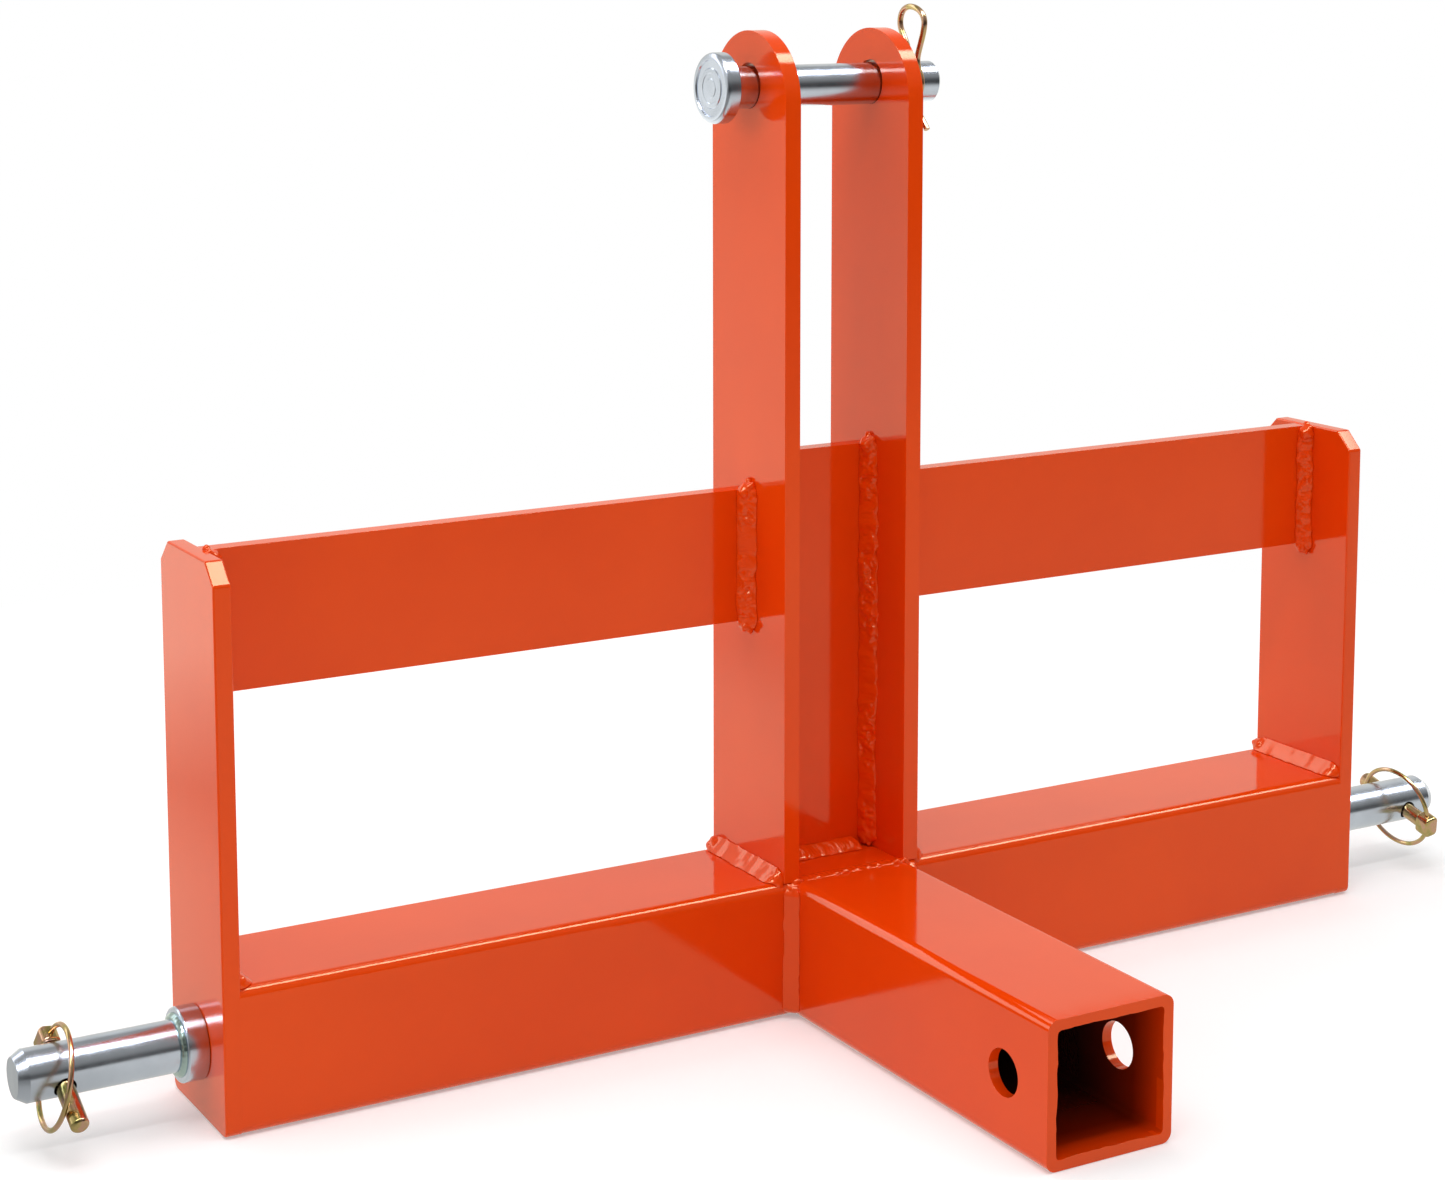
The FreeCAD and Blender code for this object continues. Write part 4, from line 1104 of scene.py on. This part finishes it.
class HITCH_OT_stage(bpy.types.Operator):
    """Set up the floor, the lamps, the studio light and the camera"""
    bl_idname = "hitch.stage"
    bl_label = "Stage"

    def execute(self, context):
        stage = settings("hitch_stage")
        self.floor(stage)
        self.world(stage)
        self.lamp("key", (-0.2, 0.25, 1.9), (0, 0, 0.1), (1.7, 1.7), stage.key_power)
        self.lamp("strip", (0, -0.55, 1.75), (0, 0, 0.1), (1.8, 0.12), stage.strip_power)
        self.lamp("fill", (-2.3, 0.3, 1.1), (0, 0, 0.2), (1.2, 1.2), stage.fill_power)
        self.camera(stage)
        context.scene.view_settings.view_transform = "Standard"
        return {"FINISHED"}

    def floor(self, stage):
        """A pale floor that keeps the hitch's shadow, white to the camera, fading in reflections with painted
        shadow.
        """
        plane = primitive(bpy.ops.mesh.primitive_plane_add, "studio_floor", size=FLOOR_SIZE,
                          location=(0, 0, -FLOOR_DROP))
        made, tree, shader = material("studio_floor")
        fill(tree, shader, {"Base Color": (*stage.floor, 1), "Roughness": 0.9, "Specular IOR Level": 0.0})
        rays = add_node(tree, "LightPath")
        place = add_node(tree, "TexCoord")["Object"]
        far = add_node(tree, "VectorMath", {0: place}, operation="LENGTH")["Value"]
        glow = range_node(tree, far, *FLOOR_FADE, 1.5, 1.0)
        white = add_node(tree, "Emission", {"Strength": glow})["Emission"]
        clear = range_node(tree, far, *FLOOR_FADE, 0.20, 1.0)
        share = math_node(tree, "MULTIPLY", clear, rays["Is Camera Ray"])
        seen = mix_node(tree, share, shader.outputs["BSDF"], white)
        split = add_node(tree, "SeparateXYZ", {"Vector": place})
        # In reflections the floor glows, dimmer round the hitch and beyond the left pin: painted shadow.
        mirrored_floor_shade = shades(tree, range_node(tree, split["Y"], *FLOOR_DEPTH), stage.mirrored, FLOOR_SHARES)
        strength = math_node(tree, "MAXIMUM", *(
            range_node(tree, split[axis], low, high, 0.8, 2.0) for axis, low, high in MIRRORED_PIN_SHADOW))
        mirrored = add_node(tree, "Emission", {"Color": mirrored_floor_shade, "Strength": strength})["Emission"]
        surface = mix_node(tree, rays["Is Glossy Ray"], seen, mirrored)
        tree.links.new(surface, tree.nodes["Material Output"].inputs["Surface"])
        plane.data.materials.append(made)

    def world(self, stage):
        """Even light. Reflections see a pale wall behind, a dim room in front, a soft box and a window."""
        world = bpy.context.scene.world or bpy.data.worlds.new("studio")
        bpy.context.scene.world = world
        world.use_nodes = True
        tree = world.node_tree
        tree.nodes.clear()
        way = split_node(tree, "Generated")
        rays = add_node(tree, "LightPath")

        def background(**inputs):
            return add_node(tree, "Background", inputs)["Background"]

        walls = mix_node(tree, range_node(tree, way["Y"], *ROOM_TO_WALL),
                         background(Color=shades(tree, way["Z"], stage.mirrored, ROOM_SHARES)),
                         background(Color=shades(tree, way["Z"], stage.mirrored, WALL_SHARES)))
        for strength, edges in ((stage.softbox, SOFTBOX_EDGES), (stage.window, WINDOW_EDGES)):
            share = 1.0
            for axis, dark, full in edges:
                share = math_node(tree, "MULTIPLY", share, range_node(tree, way[axis], dark, full))
            walls = mix_node(tree, share, walls, background(Strength=strength))
        even = background(Color=(1, 1, 1, 1), Strength=stage.sky)
        reflected = mix_node(tree, rays["Is Glossy Ray"], even, walls)
        seen = mix_node(tree, rays["Is Camera Ray"], reflected, background(Color=(1, 1, 1, 1)))
        add_node(tree, "OutputWorld", {"Surface": seen})

    def lamp(self, name, place, target, size, power):
        """A soft lamp, wide and deep as its size says, that points at a target."""
        light = bpy.data.lights.new(name, "AREA")
        light.shape = "RECTANGLE"
        light.size, light.size_y = size
        light.energy = power
        holder = bpy.data.objects.new(name, light)
        holder.location = place
        holder.rotation_euler = (Vector(target) - Vector(place)).to_track_quat("-Z", "Y").to_euler()
        holder.visible_camera = False
        holder.visible_glossy = False
        bpy.context.collection.objects.link(holder)

    def camera(self, stage):
        """The camera at the photograph's viewing angle."""
        data = bpy.data.cameras.new("camera")
        data.lens = stage.focal
        data.sensor_width = 36
        data.sensor_fit = "HORIZONTAL"
        data.shift_x, data.shift_y = CAMERA_SHIFT
        holder = bpy.data.objects.new("camera", data)
        turn = (Matrix.Rotation(math.radians(-CAMERA_YAW), 4, "Z")
                @ Matrix.Rotation(math.radians(90 - CAMERA_PITCH), 4, "X")
                @ Matrix.Rotation(math.radians(CAMERA_ROLL), 4, "Z"))
        holder.matrix_world = Matrix.Translation(CAMERA_PLACE) @ turn
        bpy.context.collection.objects.link(holder)
        bpy.context.scene.camera = holder


class HITCH_PT_panel(bpy.types.Panel):
    """The steps that build the hitch"""
    bl_idname = "HITCH_PT_panel"
    bl_label = "Receiver Hitch"
    bl_space_type = "VIEW_3D"
    bl_region_type = "UI"
    bl_category = "Hitch"

    def draw(self, context):
        for operator in OPERATORS:
            self.layout.operator(operator.bl_idname)


SETTINGS = {
    "hitch_paint": HitchPaintSettings,
    "hitch_plating": HitchPlatingSettings,
    "hitch_weld": HitchWeldSettings,
    "hitch_stage": HitchStageSettings,
}
OPERATORS = (
    HITCH_OT_square_tubes,
    HITCH_OT_flat_bars,
    HITCH_OT_weld_beads,
    HITCH_OT_lower_pins,
    HITCH_OT_linch_pins,
    HITCH_OT_top_pin,
    HITCH_OT_stage,
)
CLASSES = (*SETTINGS.values(), *OPERATORS, HITCH_PT_panel)


def register():
    for cls in CLASSES:
        bpy.utils.register_class(cls)
    for name, group in SETTINGS.items():
        setattr(bpy.types.Scene, name, PointerProperty(type=group))


def unregister():
    for name in SETTINGS:
        delattr(bpy.types.Scene, name)
    for cls in reversed(CLASSES):
        bpy.utils.unregister_class(cls)


def main():
    register()
    bpy.ops.hitch.square_tubes()
    bpy.ops.hitch.flat_bars()
    bpy.ops.hitch.weld_beads()
    bpy.ops.hitch.lower_pins()
    bpy.ops.hitch.linch_pins()
    bpy.ops.hitch.top_pin()
    bpy.ops.hitch.stage()


if __name__ == "__main__":
    main()
